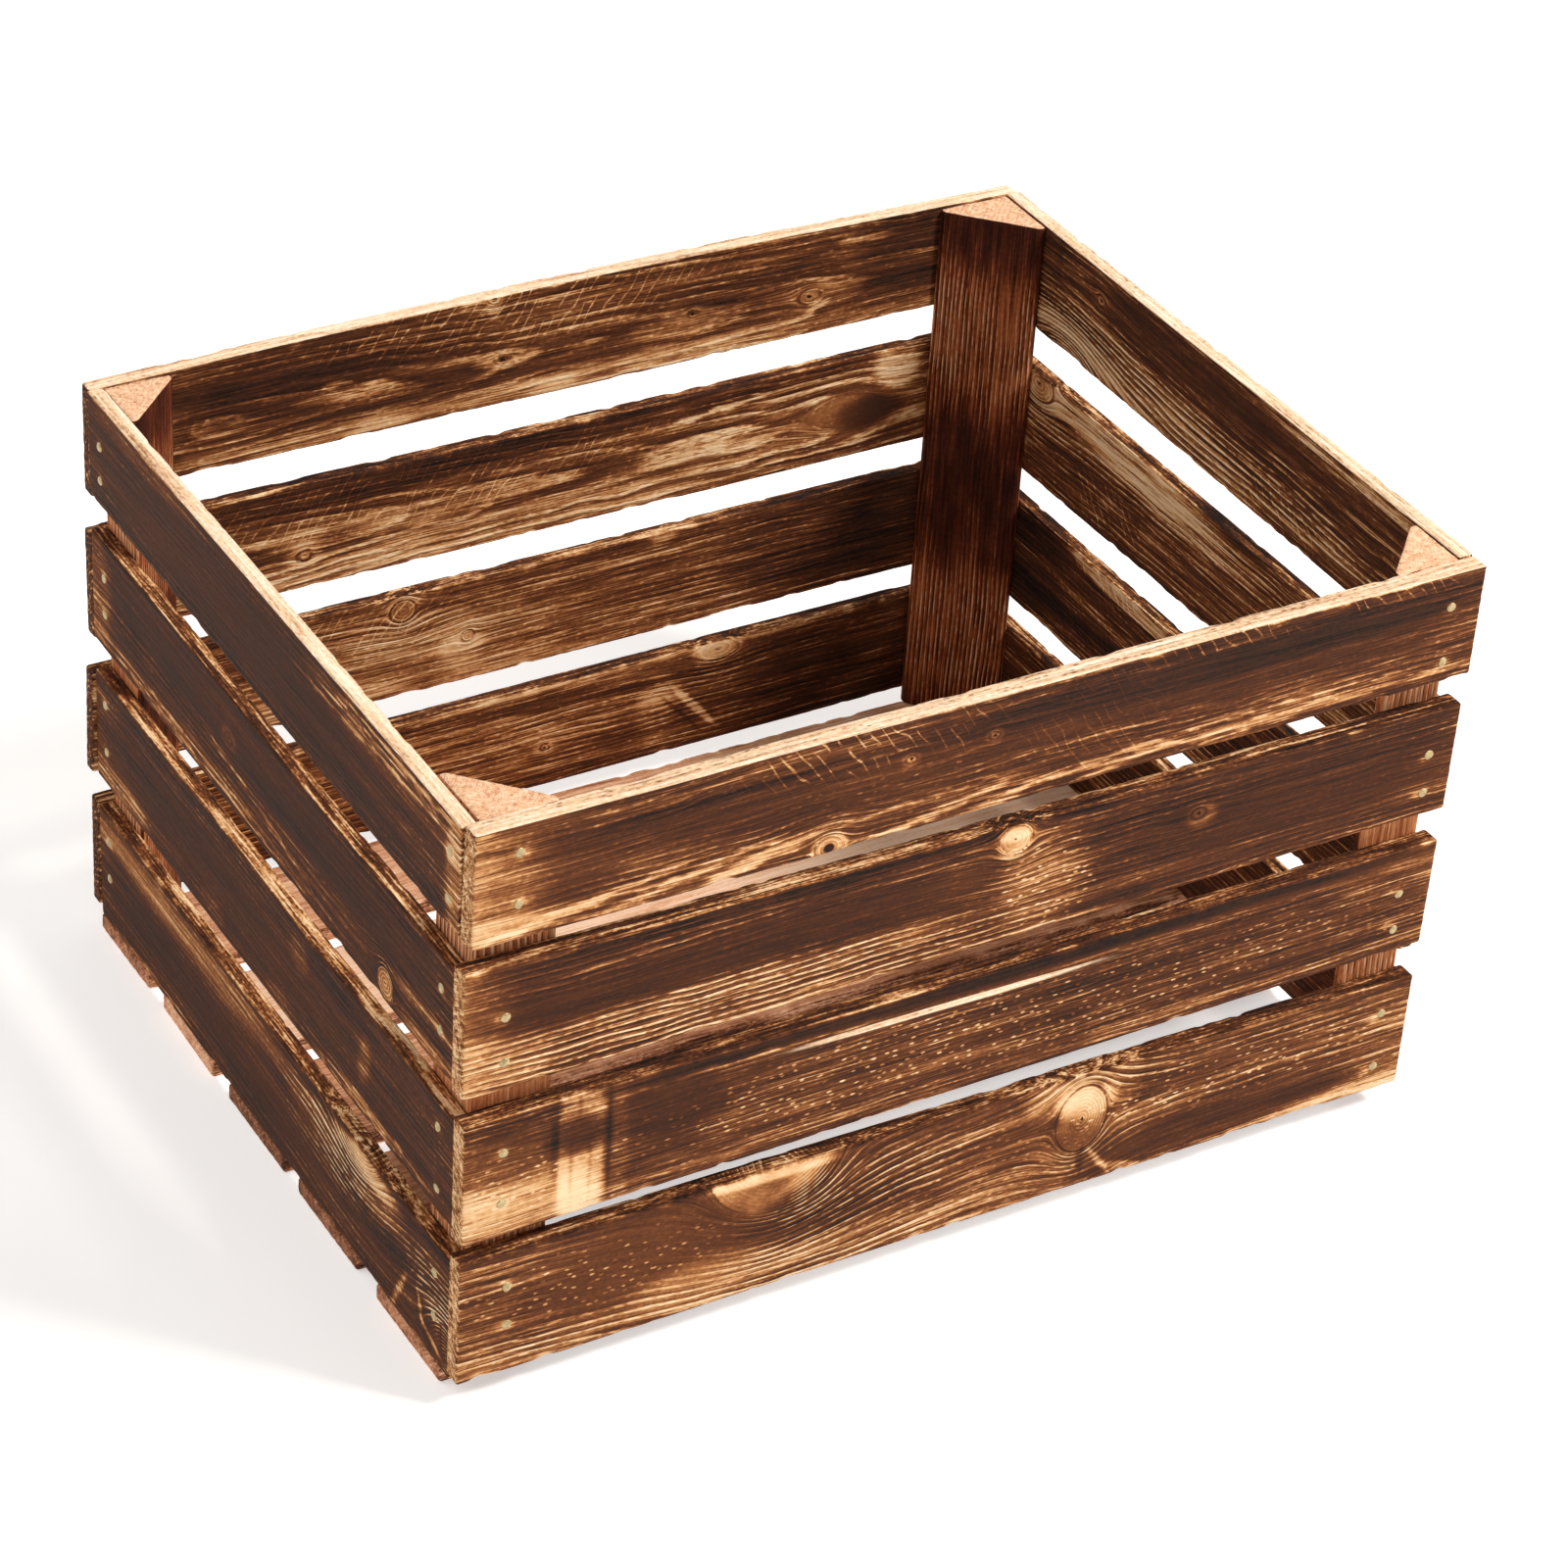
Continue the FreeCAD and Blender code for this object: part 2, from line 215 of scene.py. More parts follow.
# A pale knot under its upper edge, with torn wood below it.
FRONT_SECOND = marked(
    pale(-244, 12, 36, 16, 0.22),
    pale(-246, 40, 16, 24, 0.14),
    calm(-235, 34, 40, 30, 0.35),
    pale(-125, 11, 135, 13, 0.14),
    lively(-125, 12, 135, 15, 1.1),
    lively(-200, 50, 60, 10, 0.5),
    pale(30, 26, 22, 28, 0.27),
    pale(13, 51, 8.4, 8, fade=0.3),
    pale(14, 57, 10, 5, 0.3, fade=0.5),
    calm(14, 52, 7, 8, 0.7),
    pale(112, 37, 8, 6, 0.36, fade=0.7),
    char_and_painted_shade(-120, 57, 110, 3),
    char_and_painted_shade(-110, 36, 120, 10, 0.06),
    calm(-110, 36, 115, 9),
    char_and_painted_shade(155, 34, 100, 20, 0.12),
    calm(170, 30, 90, 20, 0.4),
    lively(60, 50, 60, 10, 0.5),
    streak(0, 1.2, 250, 1.2, 0.2),
    torn(34, 26, 26, 26, 1),
    burn=0.585, ring_pitch=2.9, pith=(140, -50), trim=(-1.9, -2.3), ends=(0.22, 0.08),
    knots=(Knot(14, 53, 7.6, 1.1, 0.8), Knot(110, 39, 3, 1.3, 1)),
)

# A cross-grained tongue near its left end, and the long scar of a splinter.
FRONT_THIRD = marked(
    pale(-236, 8, 48, 20, 0.42),
    pale(-228, 26, 40, 14, 0.1),
    char_and_painted_shade(-226, 52, 32, 8, 0.12),
    char_and_painted_shade(-206.5, 38, 1.2, 24, 0.22),
    char_and_painted_shade(-181, 34, 1.4, 24, 0.26),
    pale(-194, 30, 11.5, 60, 0.36, fade=0.45),
    pale(-193, 10, 11, 15, 0.14),
    char_and_painted_shade(-195, 40, 13, 9, 0.5, fade=1.2),
    calm(-194, 24, 10, 30, 0.4),
    char_and_painted_shade(-199, 18, 0.8, 15, 0.2, slope=2, fade=1.2),
    char_and_painted_shade(-190, 20, 0.8, 17, 0.16, slope=-2, fade=1.2),
    char_and_painted_shade(-194.5, 58, 0.8, 9, 0.18, fade=1.2),
    calm(-228, 24, 30, 24, 0.35),
    pale(-175, 26, 4, 34, 0.12),
    char_and_painted_shade(-150, 42, 26, 18, 0.16),
    calm(-152, 42, 26, 20),
    bare(-12, 49.5, 81, 1.7, slope=-0.008),
    streak(-110, 53, 64, 0.8, 0.26),
    streak(100, 52, 60, 0.7, 0.2),
    char_and_painted_shade(30, 57.5, 215, 3.4, 0.34),
    calm(60, 56, 200, 4, 0.6),
    char_and_painted_shade(90, 38, 60, 7, 0.1),
    pale(20, 6, 240, 7, 0.1),
    pale(228, 45, 30, 14, 0.12),
    torn(20, 28, 190, 20, 1.1),
    torn(-225, 26, 26, 16, 0.7),
    burn=0.545, ring_pitch=2.3, pith=(-90, -40), trim=(-0.5, -3.5), ends=(0.12, 0.06), high_wave=1,
)

# Two big knots: one open in its face, one just past its upper edge.
FRONT_LOWEST = marked(
    calm(-98, 54, 20, 14),
    pale(-99, 56, 20, 14, 0.2, waver=1.5, fade=1),
    pale(-80, 56, 13, 5, 0.18, slope=0.5, waver=1.2),
    pale(-101, 48, 8, 8, 0.12, fade=0.8),
    char_and_painted_shade(-95, 40, 16, 6, 0.1, slope=0.4, fade=1.2),
    lively(-40, 44, 44, 18, 0.8),
    calm(-158, 34, 50, 30, 0.8),
    pale(-50, 10, 56, 9, 0.16),
    lively(-50, 10, 56, 10, 0.5),
    char_and_painted_shade(-60, 28, 44, 8, 0.14),
    pale(69, 50, 16, 12, 0.3, fade=0.6),
    pale(67, 38, 14, 19, 0.22, fade=0.3),
    char_and_painted_shade(67, 26, 13, 8, 0.14),
    char_and_painted_shade(66, 40, 6, 7, 0.14),
    pale(63, 52, 10, 8, 0.14),
    pale(48, 54, 12, 9, 0.24),
    pale(88, 50, 10, 14, 0.2),
    lively(95, 44, 30, 18, 0.7),
    pale(34, 14, 36, 13, 0.12),
    char_and_painted_shade(69, 15, 2, 8, 0.3),
    pale(79, 11, 7, 2.6, slope=-1.3, fade=0.6),
    pale(93, 3.5, 14, 2.4, 0.36, slope=-0.35, fade=0.6),
    pale(-128, 14, 34, 14, 0.22),
    pale(-215, 8, 60, 9, 0.16),
    lively(-190, 10, 70, 12, 0.9),
    char_and_painted_shade(150, 14, 66, 10, 0.14),
    calm(150, 14, 70, 11, 0.4),
    pale(238, 20, 24, 22, 0.12),
    pale(230, 2, 50, 6, 0.34),
    streak(0, 1.2, 250, 1.4, 0.22),
    pale(-96, 62, 34, 3, 0.38),
    pale(60, 62, 26, 3, 0.24),
    torn(-190, 38, 70, 18),
    torn(150, 40, 90, 16, 1),
    torn(-10, 30, 60, 30, 0.5),
    burn=0.475, ring_pitch=3.6, pith=(-70, -50), trim=(-1.1, -4.8), ends=(0.1, 0.08),
    knots=(Knot(-94, 74, 32, 1.1, 0), Knot(67, 40.5, 18, 0.78, 1.3)), high_wave=1,
)

# Evenly charred, with a few pale lines near its front end.
LEFT_RIM = marked(
    pale(130, 50, 64, 7, 0.2),
    streak(-110, 42, 84, 1.2, 0.34, slope=-0.05, bow=2),
    streak(-120, 47, 74, 1.1, 0.36, slope=-0.05, bow=2),
    streak(-130, 51, 64, 1.1, 0.3, slope=-0.03),
    pale(-130, 44, 70, 10, 0.16),
    pale(-187, 26, 9, 40, 0.36),
    calm(30, 26, 150, 18, 0.6),
    streak(-20, 1, 150, 1, 0.22),
    burn=0.72, contrast=0.8, ring_pitch=3.4, pith=(-80, -30), ends=(0.05, 0.12),
)

# Charred, with a small round knot low near its front end.
LEFT_SECOND = marked(
    char_and_painted_shade(-124, 9.5, 14, 13, 0.16),
    pale(-124, 9.5, 8, 8, 0.66, fade=0.3),
    pale(36, 36, 8, 5, 0.3),
    streak(8, 19, 78, 1.2, 0.34, slope=0.145),
    pale(80, 7, 120, 6, 0.2),
    streak(60, 8, 130, 1.1, 0.28),
    streak(40, 4, 140, 1.3, 0.32),
    pale(-162, 20, 30, 3, 0.34),
    pale(-162, 4, 30, 3, 0.34),
    char_and_painted_shade(-165, 12, 26, 4, 0.15),
    calm(0, 40, 160, 14, 0.6),
    pale(182, 30, 14, 26, 0.24),
    burn=0.72, contrast=0.8, ring_pitch=3, pith=(90, -40), ends=(0.15, 0.1), edge_burn=0.4,
    knots=(Knot(-124, 9.5, 8, 1, 1), Knot(36, 36, 3)), high_wave=1.2,
)

# Charred, its upper edge the most uneven of the wall.
LEFT_THIRD = marked(
    pale(-38, 42, 9, 9, 0.2),
    pale(-104, 30, 6, 13, 0.28, slope=-0.5),
    streak(-118, 7, 56, 1.6, 0.42, bow=-2),
    streak(-100, 3, 50, 1.3, 0.4),
    pale(160, 7, 30, 8, 0.32),
    pale(56, 8, 12, 8, 0.18),
    pale(-20, 5, 14, 6, 0.2),
    calm(40, 28, 150, 18),
    burn=0.71, contrast=0.8, flecks=0.35, ring_pitch=3, pith=(-90, -40), ends=(0.18, 0.05),
    edge_burn=0.3, high_wave=1.6,
)

# A fan of grain spreads from the knots at its front end.
LEFT_LOWEST = marked(
    pale(90, 54, 120, 10, 0.42),
    calm(90, 53, 110, 9, 0.4),
    pale(-58, 46, 30, 12, 0.18),
    lively(-62, 42, 40, 18, 1.2),
    pale(-106, 56, 34, 7, 0.5, fade=0.6),
    pale(-116, 44, 22, 12, 0.24, fade=0.8),
    char_and_painted_shade(-120, 32, 22, 8, 0.14),
    pale(-141, 13, 8, 4.5, 0.46, slope=-1.8, fade=0.7),
    pale(-162, 19, 3.2, 4, 0.46, slope=2.4, fade=0.7),
    pale(-173, 9.5, 10, 1.8, 0.46, slope=0.4, fade=0.7),
    lively(-172, 38, 22, 14, 1),
    pale(-172, 38, 18, 10, 0.1),
    streak(130, 3, 50, 1.4, 0.4),
    calm(60, 24, 130, 14),
    burn=0.68, contrast=0.8, ring_pitch=3.4, pith=(-60, -35), ends=(0.1, 0), edge_burn=0.34,
    knots=(Knot(-188, 8, 18, 1.2, 0), Knot(-100, 72, 20, 1.2, 0)),
)

# Slightly crowned, with long pale islands of grain.
BACK_RIM = marked(
    sawn(-30, 46, 110, 15, 0.8),
    pale(0, 5, 220, 7, 0.34),
    pale(-43, 52, 4, 7, 0.28),
    oval(-120, 24, 27, 3.6, 0.28),
    streak(-126, 29.5, 10, 1.3, 0.5),
    oval(-36, 23, 18, 3.2, 0.3),
    oval(57, 22, 26, 7, 0.18),
    oval(134, 21, 30, 10, 0.12),
    oval(134, 21, 17, 6, 0.1),
    streak(164, 47, 17, 1.8, 0.5),
    pale(80, 50, 60, 9, 0.1),
    pale(-10, 2, 12, 6, 0.2),
    pale(-100, 4, 14, 8, 0.2),
    char_and_painted_shade(-150, 40, 55, 16, 0.16),
    char_and_painted_shade(190, 40, 24, 24, 0.16),
    burn=0.52, contrast=0.9, lines=1.1, ring_pitch=3.4, pith=(22, -24), pith_climb=(0, 0.03),
    wander=0.7, trim=(1.7, -1), crown=3,
    knots=(Knot(132, 21, 4, 1.6), Knot(-38, 24, 2, 2), Knot(-43, 55, 2.5), Knot(66, 26, 2)),
)

# Long pale islands of grain along its middle, and one streak above them.
BACK_SECOND = marked(
    char_and_painted_shade(-70, 52, 150, 9, 0.22),
    oval(-150, 28, 20, 5),
    oval(-76, 27, 82, 6.5, 0.16),
    oval(-60, 26, 60, 3, 0.1),
    oval(64, 26, 28, 7, 0.16),
    pale(-50, 7, 180, 9, 0.26),
    lively(-20, 8, 170, 9, 0.7),
    streak(85, 45.5, 28, 1.5, 0.6, slope=0.12),
    pale(-142, 18, 9, 6, 0.34),
    pale(186, 48, 13, 13, 0.42, fade=0.6),
    # Painted shade: darker toward the slat's right end, where the right wall's shadow falls.
    char_and_painted_shade(172, 24, 18, 9, 0.34),
    pale(120, 28, 40, 18, 0.12),
    lively(110, 28, 40, 22, 0.5),
    calm(162, 27, 22, 14, 0.6),
    sawn(-80, 42, 130, 18, 0.7),
    burn=0.43, lines=1.1, ring_pitch=3.4, pith=(26, -26), pith_climb=(0, 0.04), wander=0.7,
    trim=(0.5, -0.4), knots=(Knot(156, 27, 9, 2.4, 0), Knot(-142, 18, 3, 1.3, 0.6)),
)

# Two knots toward one end, each by a pale patch.
BACK_THIRD = marked(
    pale(-88, 49, 9, 8, 0.22, fade=0.6),
    pale(-56, 19, 12, 10, 0.26),
    pale(56, 57, 9, 5, fade=0.6),
    pale(-110, 20, 90, 20, 0.12),
    pale(-20, 6, 180, 7, 0.16),
    char_and_painted_shade(20, 48, 120, 8, 0.12),
    # Painted shade: these two darken the slat's right end, where the right wall's shadow falls.
    char_and_painted_shade(150, 30, 50, 36, 0.2),
    char_and_painted_shade(190, 30, 34, 36, 0.22),
    sawn(-110, 44, 50, 16, 0.6),
    burn=0.42, contrast=1.1, ring_pitch=3, pith=(-60, -40), trim=(0.8, 1.6),
    knots=(Knot(-88, 49, 6.5, 1.1, 0.6), Knot(-52, 26, 3.2, 1.1)),
)

# A long knot under its upper edge, and a slanting pale patch.
BACK_LOWEST = marked(
    pale(90, 55, 15, 7, 0.34, fade=0.4),
    pale(78, 24, 13, 3.4, 0.46, slope=-1.1, fade=0.4),
    char_and_painted_shade(70, 22, 12, 1.6, 0.22, slope=-1.1, fade=0.6),
    pale(56, 30, 12, 16, 0.2),
    pale(0, 60, 240, 3, 0.26),
    pale(-8, 23, 6, 4, 0.3),
    pale(-60, 30, 60, 16, 0.08),
    # Painted shade: darker toward the slat's right end, where the right wall's shadow falls.
    char_and_painted_shade(180, 24, 66, 34, 0.26),
    burn=0.44, contrast=1.1, ring_pitch=3.2, pith=(-60, -40), trim=(0, 0.4),
    knots=(Knot(90, 55, 6, 2, 0.6), Knot(-8, 23, 2)),
)

# Strong rings along its foot, led round a knot just below it.
RIGHT_RIM = marked(
    lively(10, 16, 150, 14, 1.3),
    pale(60, 10, 120, 10, 0.26),
    char_and_painted_shade(20, 46, 90, 10, 0.16),
    calm(20, 46, 90, 10),
    char_and_painted_shade(150, 46, 26, 20, 0.16),
    pale(-90, 54, 80, 6, 0.22),
    lively(-90, 54, 80, 6),
    pale(100, 43, 6, 4, 0.2),
    sawn(-60, 12, 40, 12, 0.8),
    burn=0.52, contrast=1.3, ring_pitch=2.9, pith=(70, -35), saw_lean=-1,
    knots=(Knot(100, 43, 3, 1.3), Knot(128, -16, 22, 1.6, 0)),
)

# A broad pale band along its upper half, ending at a knot.
RIGHT_SECOND = marked(
    pale(142, 52, 22, 11, 0.36, fade=0.5),
    pale(60, 50, 66, 10, 0.44),
    pale(0, 42, 60, 8, 0.18),
    lively(65, 44, 80, 14, 0.7),
    char_and_painted_shade(60, 10, 110, 14, 0.12),
    pale(158, 12, 7, 12, 0.2),
    sawn(82, 15, 34, 14),
    burn=0.44, contrast=1.3, ring_pitch=2.8, pith=(-60, -40), saw_lean=-1,
    knots=(Knot(146, 52, 9, 1.5),),
)

# Dark, with a pale sawn band near its upper edge.
RIGHT_THIRD = marked(
    pale(55, 53, 48, 4.5, 0.56, slope=0.03, fade=0.5),
    char_and_painted_shade(150, 30, 40, 34),
    pale(40, 6, 120, 7, 0.2),
    lively(40, 8, 120, 9, 0.5),
    sawn(55, 53, 44, 5),
    sawn(90, 30, 50, 25, 0.5),
    burn=0.64, contrast=1.3, ring_pitch=2.8, pith=(-60, -40), saw_lean=-1,
)

# Plain: nothing stands out on it.
RIGHT_LOWEST = marked(
    burn=0.56, ring_pitch=3, pith=(-60, -40),
)

LOOKS = {
    "front": (FRONT_RIM, FRONT_SECOND, FRONT_THIRD, FRONT_LOWEST),
    "left": (LEFT_RIM, LEFT_SECOND, LEFT_THIRD, LEFT_LOWEST),
    "back": (BACK_RIM, BACK_SECOND, BACK_THIRD, BACK_LOWEST),
    "right": (RIGHT_RIM, RIGHT_SECOND, RIGHT_THIRD, RIGHT_LOWEST),
}
SEEN_FROM_INSIDE = ("back", "right")
# Each bottom board's burn, ring width and pith across it. The second board's low burn is painted light and
# the third's high burn is painted shade, set for where they show through the front wall's gaps.
BOARD_LOOKS = tuple(
    Look(burn, 0.7, -0.6, ring_pitch=pitch, pith=(across, -45.0), wander=0.8, ends=(-0.3, -0.3))
    for burn, pitch, across in (
        (0.12, 2.6, 80.0),
        (-0.15, 3.2, 20.0),
        (0.28, 2.4, -70.0),
        (0.25, 3.0, 95.0),
        (0.10, 2.7, -60.0),
    )
)
POST_LOOK = Look(0.72, 0.6, 1.6, 0.0, ring_pitch=2.4, pith=(-60.0, 80.0), wander=0.5, ends=(0.0, 0.0))


# Smooth noise, the same on every run.

HASH_STEPS = np.array((73856093, 19349663, 83492791), dtype=np.int64)
HASH_SEED = 2654435761
HASH_ROUNDS = ((15, 2246822519), (13, 3266489917))
HASH_LAST_SHIFT = 16
HASH_MASK = 0xFFFFFFFF


def cell_value(cell, seed):
    """A repeatable number from -1 to 1 for each whole-numbered cell."""
    mixed = (cell @ HASH_STEPS + seed * HASH_SEED) & HASH_MASK
    for shift, mixer in HASH_ROUNDS:
        mixed = ((mixed ^ (mixed >> shift)) * mixer) & HASH_MASK
    mixed = mixed ^ (mixed >> HASH_LAST_SHIFT)
    return mixed / (HASH_MASK / 2.0) - 1.0


def noise(x, y, z, seed):
    """Smooth noise from -1 to 1, about one swing per unit along each coordinate."""
    points = np.stack(np.broadcast_arrays(x, y, z), axis=-1).astype(float)
    cell = np.floor(points).astype(np.int64)
    part = points - cell
    part = part * part * (3.0 - 2.0 * part)
    total = 0.0
    for corner in np.ndindex(2, 2, 2):
        corner = np.array(corner)
        weight = np.prod(np.where(corner == 1, part, 1.0 - part), axis=-1)
        total = total + weight * cell_value(cell + corner, seed)
    return total


@dataclass
class Bar:
    """A bar of wood: its surface points along, across and through it, and how it stands in the crate."""

    name: str
    seed: int
    along: np.ndarray
    across: np.ndarray
    through: np.ndarray
    faces: list
    length: float
    width: float
    thick: float


def rounded_outline(corners, step):
    """Evenly divided points round a convex outline whose corners are rounded by the arris."""
    points = []
    count = len(corners)
    for index in range(count):
        before, corner, after = (np.array(corners[(index + shift) % count]) for shift in (-1, 0, 1))
        back = (before - corner) / np.linalg.norm(before - corner)
        forth = (after - corner) / np.linalg.norm(after - corner)
        start = corner + back * ARRIS
        end = corner + forth * ARRIS
        for turn in np.linspace(0.0, 1.0, ARRIS_STEPS):
            points.append((1 - turn) ** 2 * start + 2 * turn * (1 - turn) * corner + turn**2 * end)
        next_start = after - forth * ARRIS
        divisions = max(1, round(np.linalg.norm(next_start - end) / step))
        for part in range(1, divisions):
            points.append(end + (next_start - end) * part / divisions)
    return np.array(points)


def stations(length):
    """Distances along a bar, close together at its ends so that they can be rounded."""
    close = np.array((0.0, 0.3, 1.0))
    middle = np.linspace(close[-1], length - close[-1], round(length / STEP_ALONG))
    return np.concatenate((close[:-1], middle, length - close[-2::-1]))


def sweep(name, seed, outline, length):
    """A closed bar of the outline's section, its ends rounded and closed by ever smaller rings."""
    spots = stations(length)
    count = len(outline)
    middle = outline.mean(axis=0)
    reach = np.abs(outline - middle).max(axis=0)
    rings = []
    for spot in spots:
        inward = max(0.0, 1.0 - min(spot, length - spot))
        shrink = 1.0 - 0.6 * inward**2 / reach
        rings.append((spot, middle + (outline - middle) * shrink))
    faces = []
    for row in range(len(rings) - 1):
        for column in range(count):
            after = (column + 1) % count
            low = row * count
            high = low + count
            faces.append((low + column, low + after, high + after, high + column))
    for first, outward in ((0, False), (len(spots) - 1, True)):
        spot, rim = rings[first]
        outer = np.arange(count) + first * count
        for scale in CAP_RINGS:
            rings.append((spot, middle + (rim - middle) * scale))
            inner = np.arange(count) + (len(rings) - 1) * count
            for column in range(count):
                after = (column + 1) % count
                face = (outer[column], outer[after], inner[after], inner[column])
                faces.append(face if outward else face[::-1])
            outer = inner
        faces.append(tuple(outer) if outward else tuple(outer[::-1]))
    along = np.concatenate([np.full(count, spot) for spot, _ in rings])
    section = np.concatenate([ring for _, ring in rings])
    width, thick = outline.max(axis=0)
    return Bar(name, seed, along, section[:, 0], section[:, 1], faces, length, width, thick)


def bend_grain(bar, look, flip):
    """Lead the grain round the knots, as water goes round a stone. Inside a knot it runs in rings."""
    course = bar.across.copy()
    knot_rings = np.zeros_like(course)
    depth = np.full_like(course, -KNOT_REACH)
    heart = np.zeros_like(course)
    swirl = np.zeros_like(course)
    for knot in look.knots:
        off_along = (bar.along - bar.length / 2 - flip * knot.along) / knot.stretch
        distance = np.maximum(np.hypot(off_along, course - knot.up), 0.01)
        sideways = np.abs(course - knot.up) / distance
        beside = np.maximum(1.0 - (knot.radius / distance) ** 2, 0.0)
        course = knot.up + (course - knot.up) * beside
        knot_rings = knot_rings + np.maximum(knot.radius - distance, 0.0) / KNOT_RING_PITCH
        closeness = np.clip(1.5 * (knot.radius / distance) ** 2, 0.0, 1.0)
        swirl = swirl + closeness * (1.8 * sideways - 0.9)
        if knot.heart > 0.0:
            depth = np.maximum(depth, knot.radius - distance)
            heart = np.maximum(heart, np.clip(1.0 - 0.5 * distance / knot.heart, 0.0, 1.0))
    return course, knot_rings, {"knot": depth, "heart": heart}, swirl


def grow_rings(bar, look, course, knot_rings):
    """Count the growth rings from the pith out to each point."""
    start_across, start_through = look.pith
    climb_across, climb_through = look.pith_climb
    pith_across = start_across + climb_across * bar.along
    pith_through = start_through + climb_through * bar.along
    out = np.hypot(course - pith_across, bar.through - pith_through)
    wander = noise(bar.along / 70.0, course / 22.0, bar.through / 25.0, bar.seed)
    wander = wander + 0.4 * noise(bar.along / 22.0, course / 9.0, bar.through / 12.0, bar.seed + 1)
    return out / look.ring_pitch + look.wander * wander + knot_rings


def reach_of(bar, mark, flip):
    """How far out of a mark's middle each point is: 1 on its edge."""
    off_along = bar.along - bar.length / 2 - flip * mark.along
    part = off_along / mark.half_long
    ragged = noise(bar.along / 7.0, bar.across / 2.5, mark.along, bar.seed + 13)
    middle = mark.up + mark.slope * flip * off_along + mark.bow * part**2 + mark.waver * ragged
    return np.hypot(part, (bar.across - middle) / mark.half_high)


def lay_marks(bar, look, flip, seen_outside):
    """Lay the look's marks on the board: how burnt, lively, bare, sawn and torn each point is."""
    outside = bar.through > bar.thick / 2
    seen = outside == seen_outside
    cloud = noise(bar.along / 85.0, bar.across / 16.0, bar.through / 9.0, bar.seed + 2)
    cloud = cloud + 0.5 * noise(bar.along / 25.0, bar.across / 7.0, bar.through / 9.0, bar.seed + 3)
    layers = {kind: np.zeros_like(cloud) for kind in ("bare", "sawn")}
    layers["burn"] = look.burn + 0.07 * cloud
    layers["contrast"] = np.full_like(cloud, look.contrast)
    layers["lines"] = np.full_like(cloud, look.lines)
    layers["torn"] = np.full_like(cloud, look.flecks)
    for mark in look.marks:
        reach = reach_of(bar, mark, flip)
        if mark.kind == "bare":
            depth = (1.0 - reach) * min(mark.half_long, mark.half_high)
            layers["bare"] = np.maximum(layers["bare"], np.clip(0.5 + depth / BARE_BLUR, 0.0, 1.0) * seen)
            continue
        inside = np.clip((1.0 - reach) / mark.fade + 0.5, 0.0, 1.0)
        inside = inside * inside * (3.0 - 2.0 * inside) * seen
        if mark.kind == "calm":
            for kind in ("contrast", "lines", "torn"):
                layers[kind] *= 1.0 - mark.amount * inside
        elif mark.kind in ("burn", "lines"):
            layers[mark.kind] += mark.amount * inside
        else:
            layers[mark.kind] = np.maximum(layers[mark.kind], mark.amount * inside)
    for amount, gap in zip(look.ends, (bar.along, bar.length - bar.along)):
        fade = 14.0 + 8.0 * noise(bar.across / 9.0, 0.0, 0.0, bar.seed + 4)
        layers["burn"] -= amount * np.exp(-gap / fade)
    return layers


def near(gap, reach):
    """1 where the gap is nothing, and less by a factor e over each reach."""
    return np.exp(-np.maximum(gap, 0.0) / reach)


def to_sides(bar):
    """The distances to the nearer broad face and to the nearer edge, and which side each is on."""
    over = bar.through > bar.thick / 2
    upper = bar.across > bar.width / 2
    to_face = np.where(over, bar.thick - bar.through, bar.through)
    to_edge = np.where(upper, bar.width - bar.across, bar.across)
    return to_face, to_edge, np.where(over, 1.0, -1.0), np.where(upper, 1.0, -1.0)


def chipping(bar):
    """How much of the arris is chipped away at each point, from 0 to 1."""
    to_face, to_edge, over, upper = to_sides(bar)
    chip = noise(bar.along / 9.0, upper * 3.0, over * 3.0, bar.seed + 8)
    chip = chip + 0.5 * noise(bar.along / 5.5, upper * 3.0, over * 3.0, bar.seed + 9)
    return np.clip(chip - 0.3, 0.0, 1.0) * near(to_face, 1.6) * near(to_edge, 1.6)


def shape_arrises(bar, look, low, high):
    """Roughen the sawn surface, and wane and chip its arrises. Gives the true across and through."""
    along, across, through = bar.along, bar.across, bar.through
    to_face, to_edge, over, upper = to_sides(bar)
    share = across / bar.width
    part = along / bar.length
    wave = 0.40 * noise(along / 80.0, share * 2.0, 0.0, bar.seed + 5)
    wave = wave + 0.06 * noise(along / 16.0, share * 2.0, 0.0, bar.seed + 6)
    bow = look.crown * np.sin(math.pi * np.clip(part, 0.0, 1.0)) * share
    edge_low = low[0] + (low[1] - low[0]) * part + wave * LOW_WAVE * (1.0 - share)
    edge_high = high[0] + (high[1] - high[0]) * part + wave * look.high_wave * share + bow
    true_across = edge_low + (edge_high - edge_low) * share
    fuzz = noise(along / 6.0, across / 2.3, through / 1.6, bar.seed + 7)
    chip = chipping(bar)
    true_across = true_across - upper * (0.16 * fuzz * near(to_edge, 0.4) + 0.8 * chip)
    ripple = noise(along / 16.0, across / 6.0, over, bar.seed + 10)
    ripple = ripple + 0.5 * noise(along / 5.0, across / 3.0, over, bar.seed + 11)
    true_through = through - over * (0.9 * chip + near(to_face, 0.5) * (0.10 + 0.08 * ripple))
    return true_across, true_through


def shape_ends(bar, look):
    """Cut the ends a little long or short of each other and out of square, with rough saw cuts."""
    start, finish = look.trim
    part = bar.along / bar.length
    slant = noise(bar.seed * 7.7, part * 1.0, 0.0, 3) * (bar.across / bar.width - 0.5) * 1.2
    rough = 0.16 * noise(bar.across / 1.7, bar.through / 1.7, part, bar.seed + 12)
    at_end = near(np.minimum(bar.along, bar.length - bar.along), 0.6)
    return bar.along + start * (1.0 - part) + finish * part + slant + rough * at_end


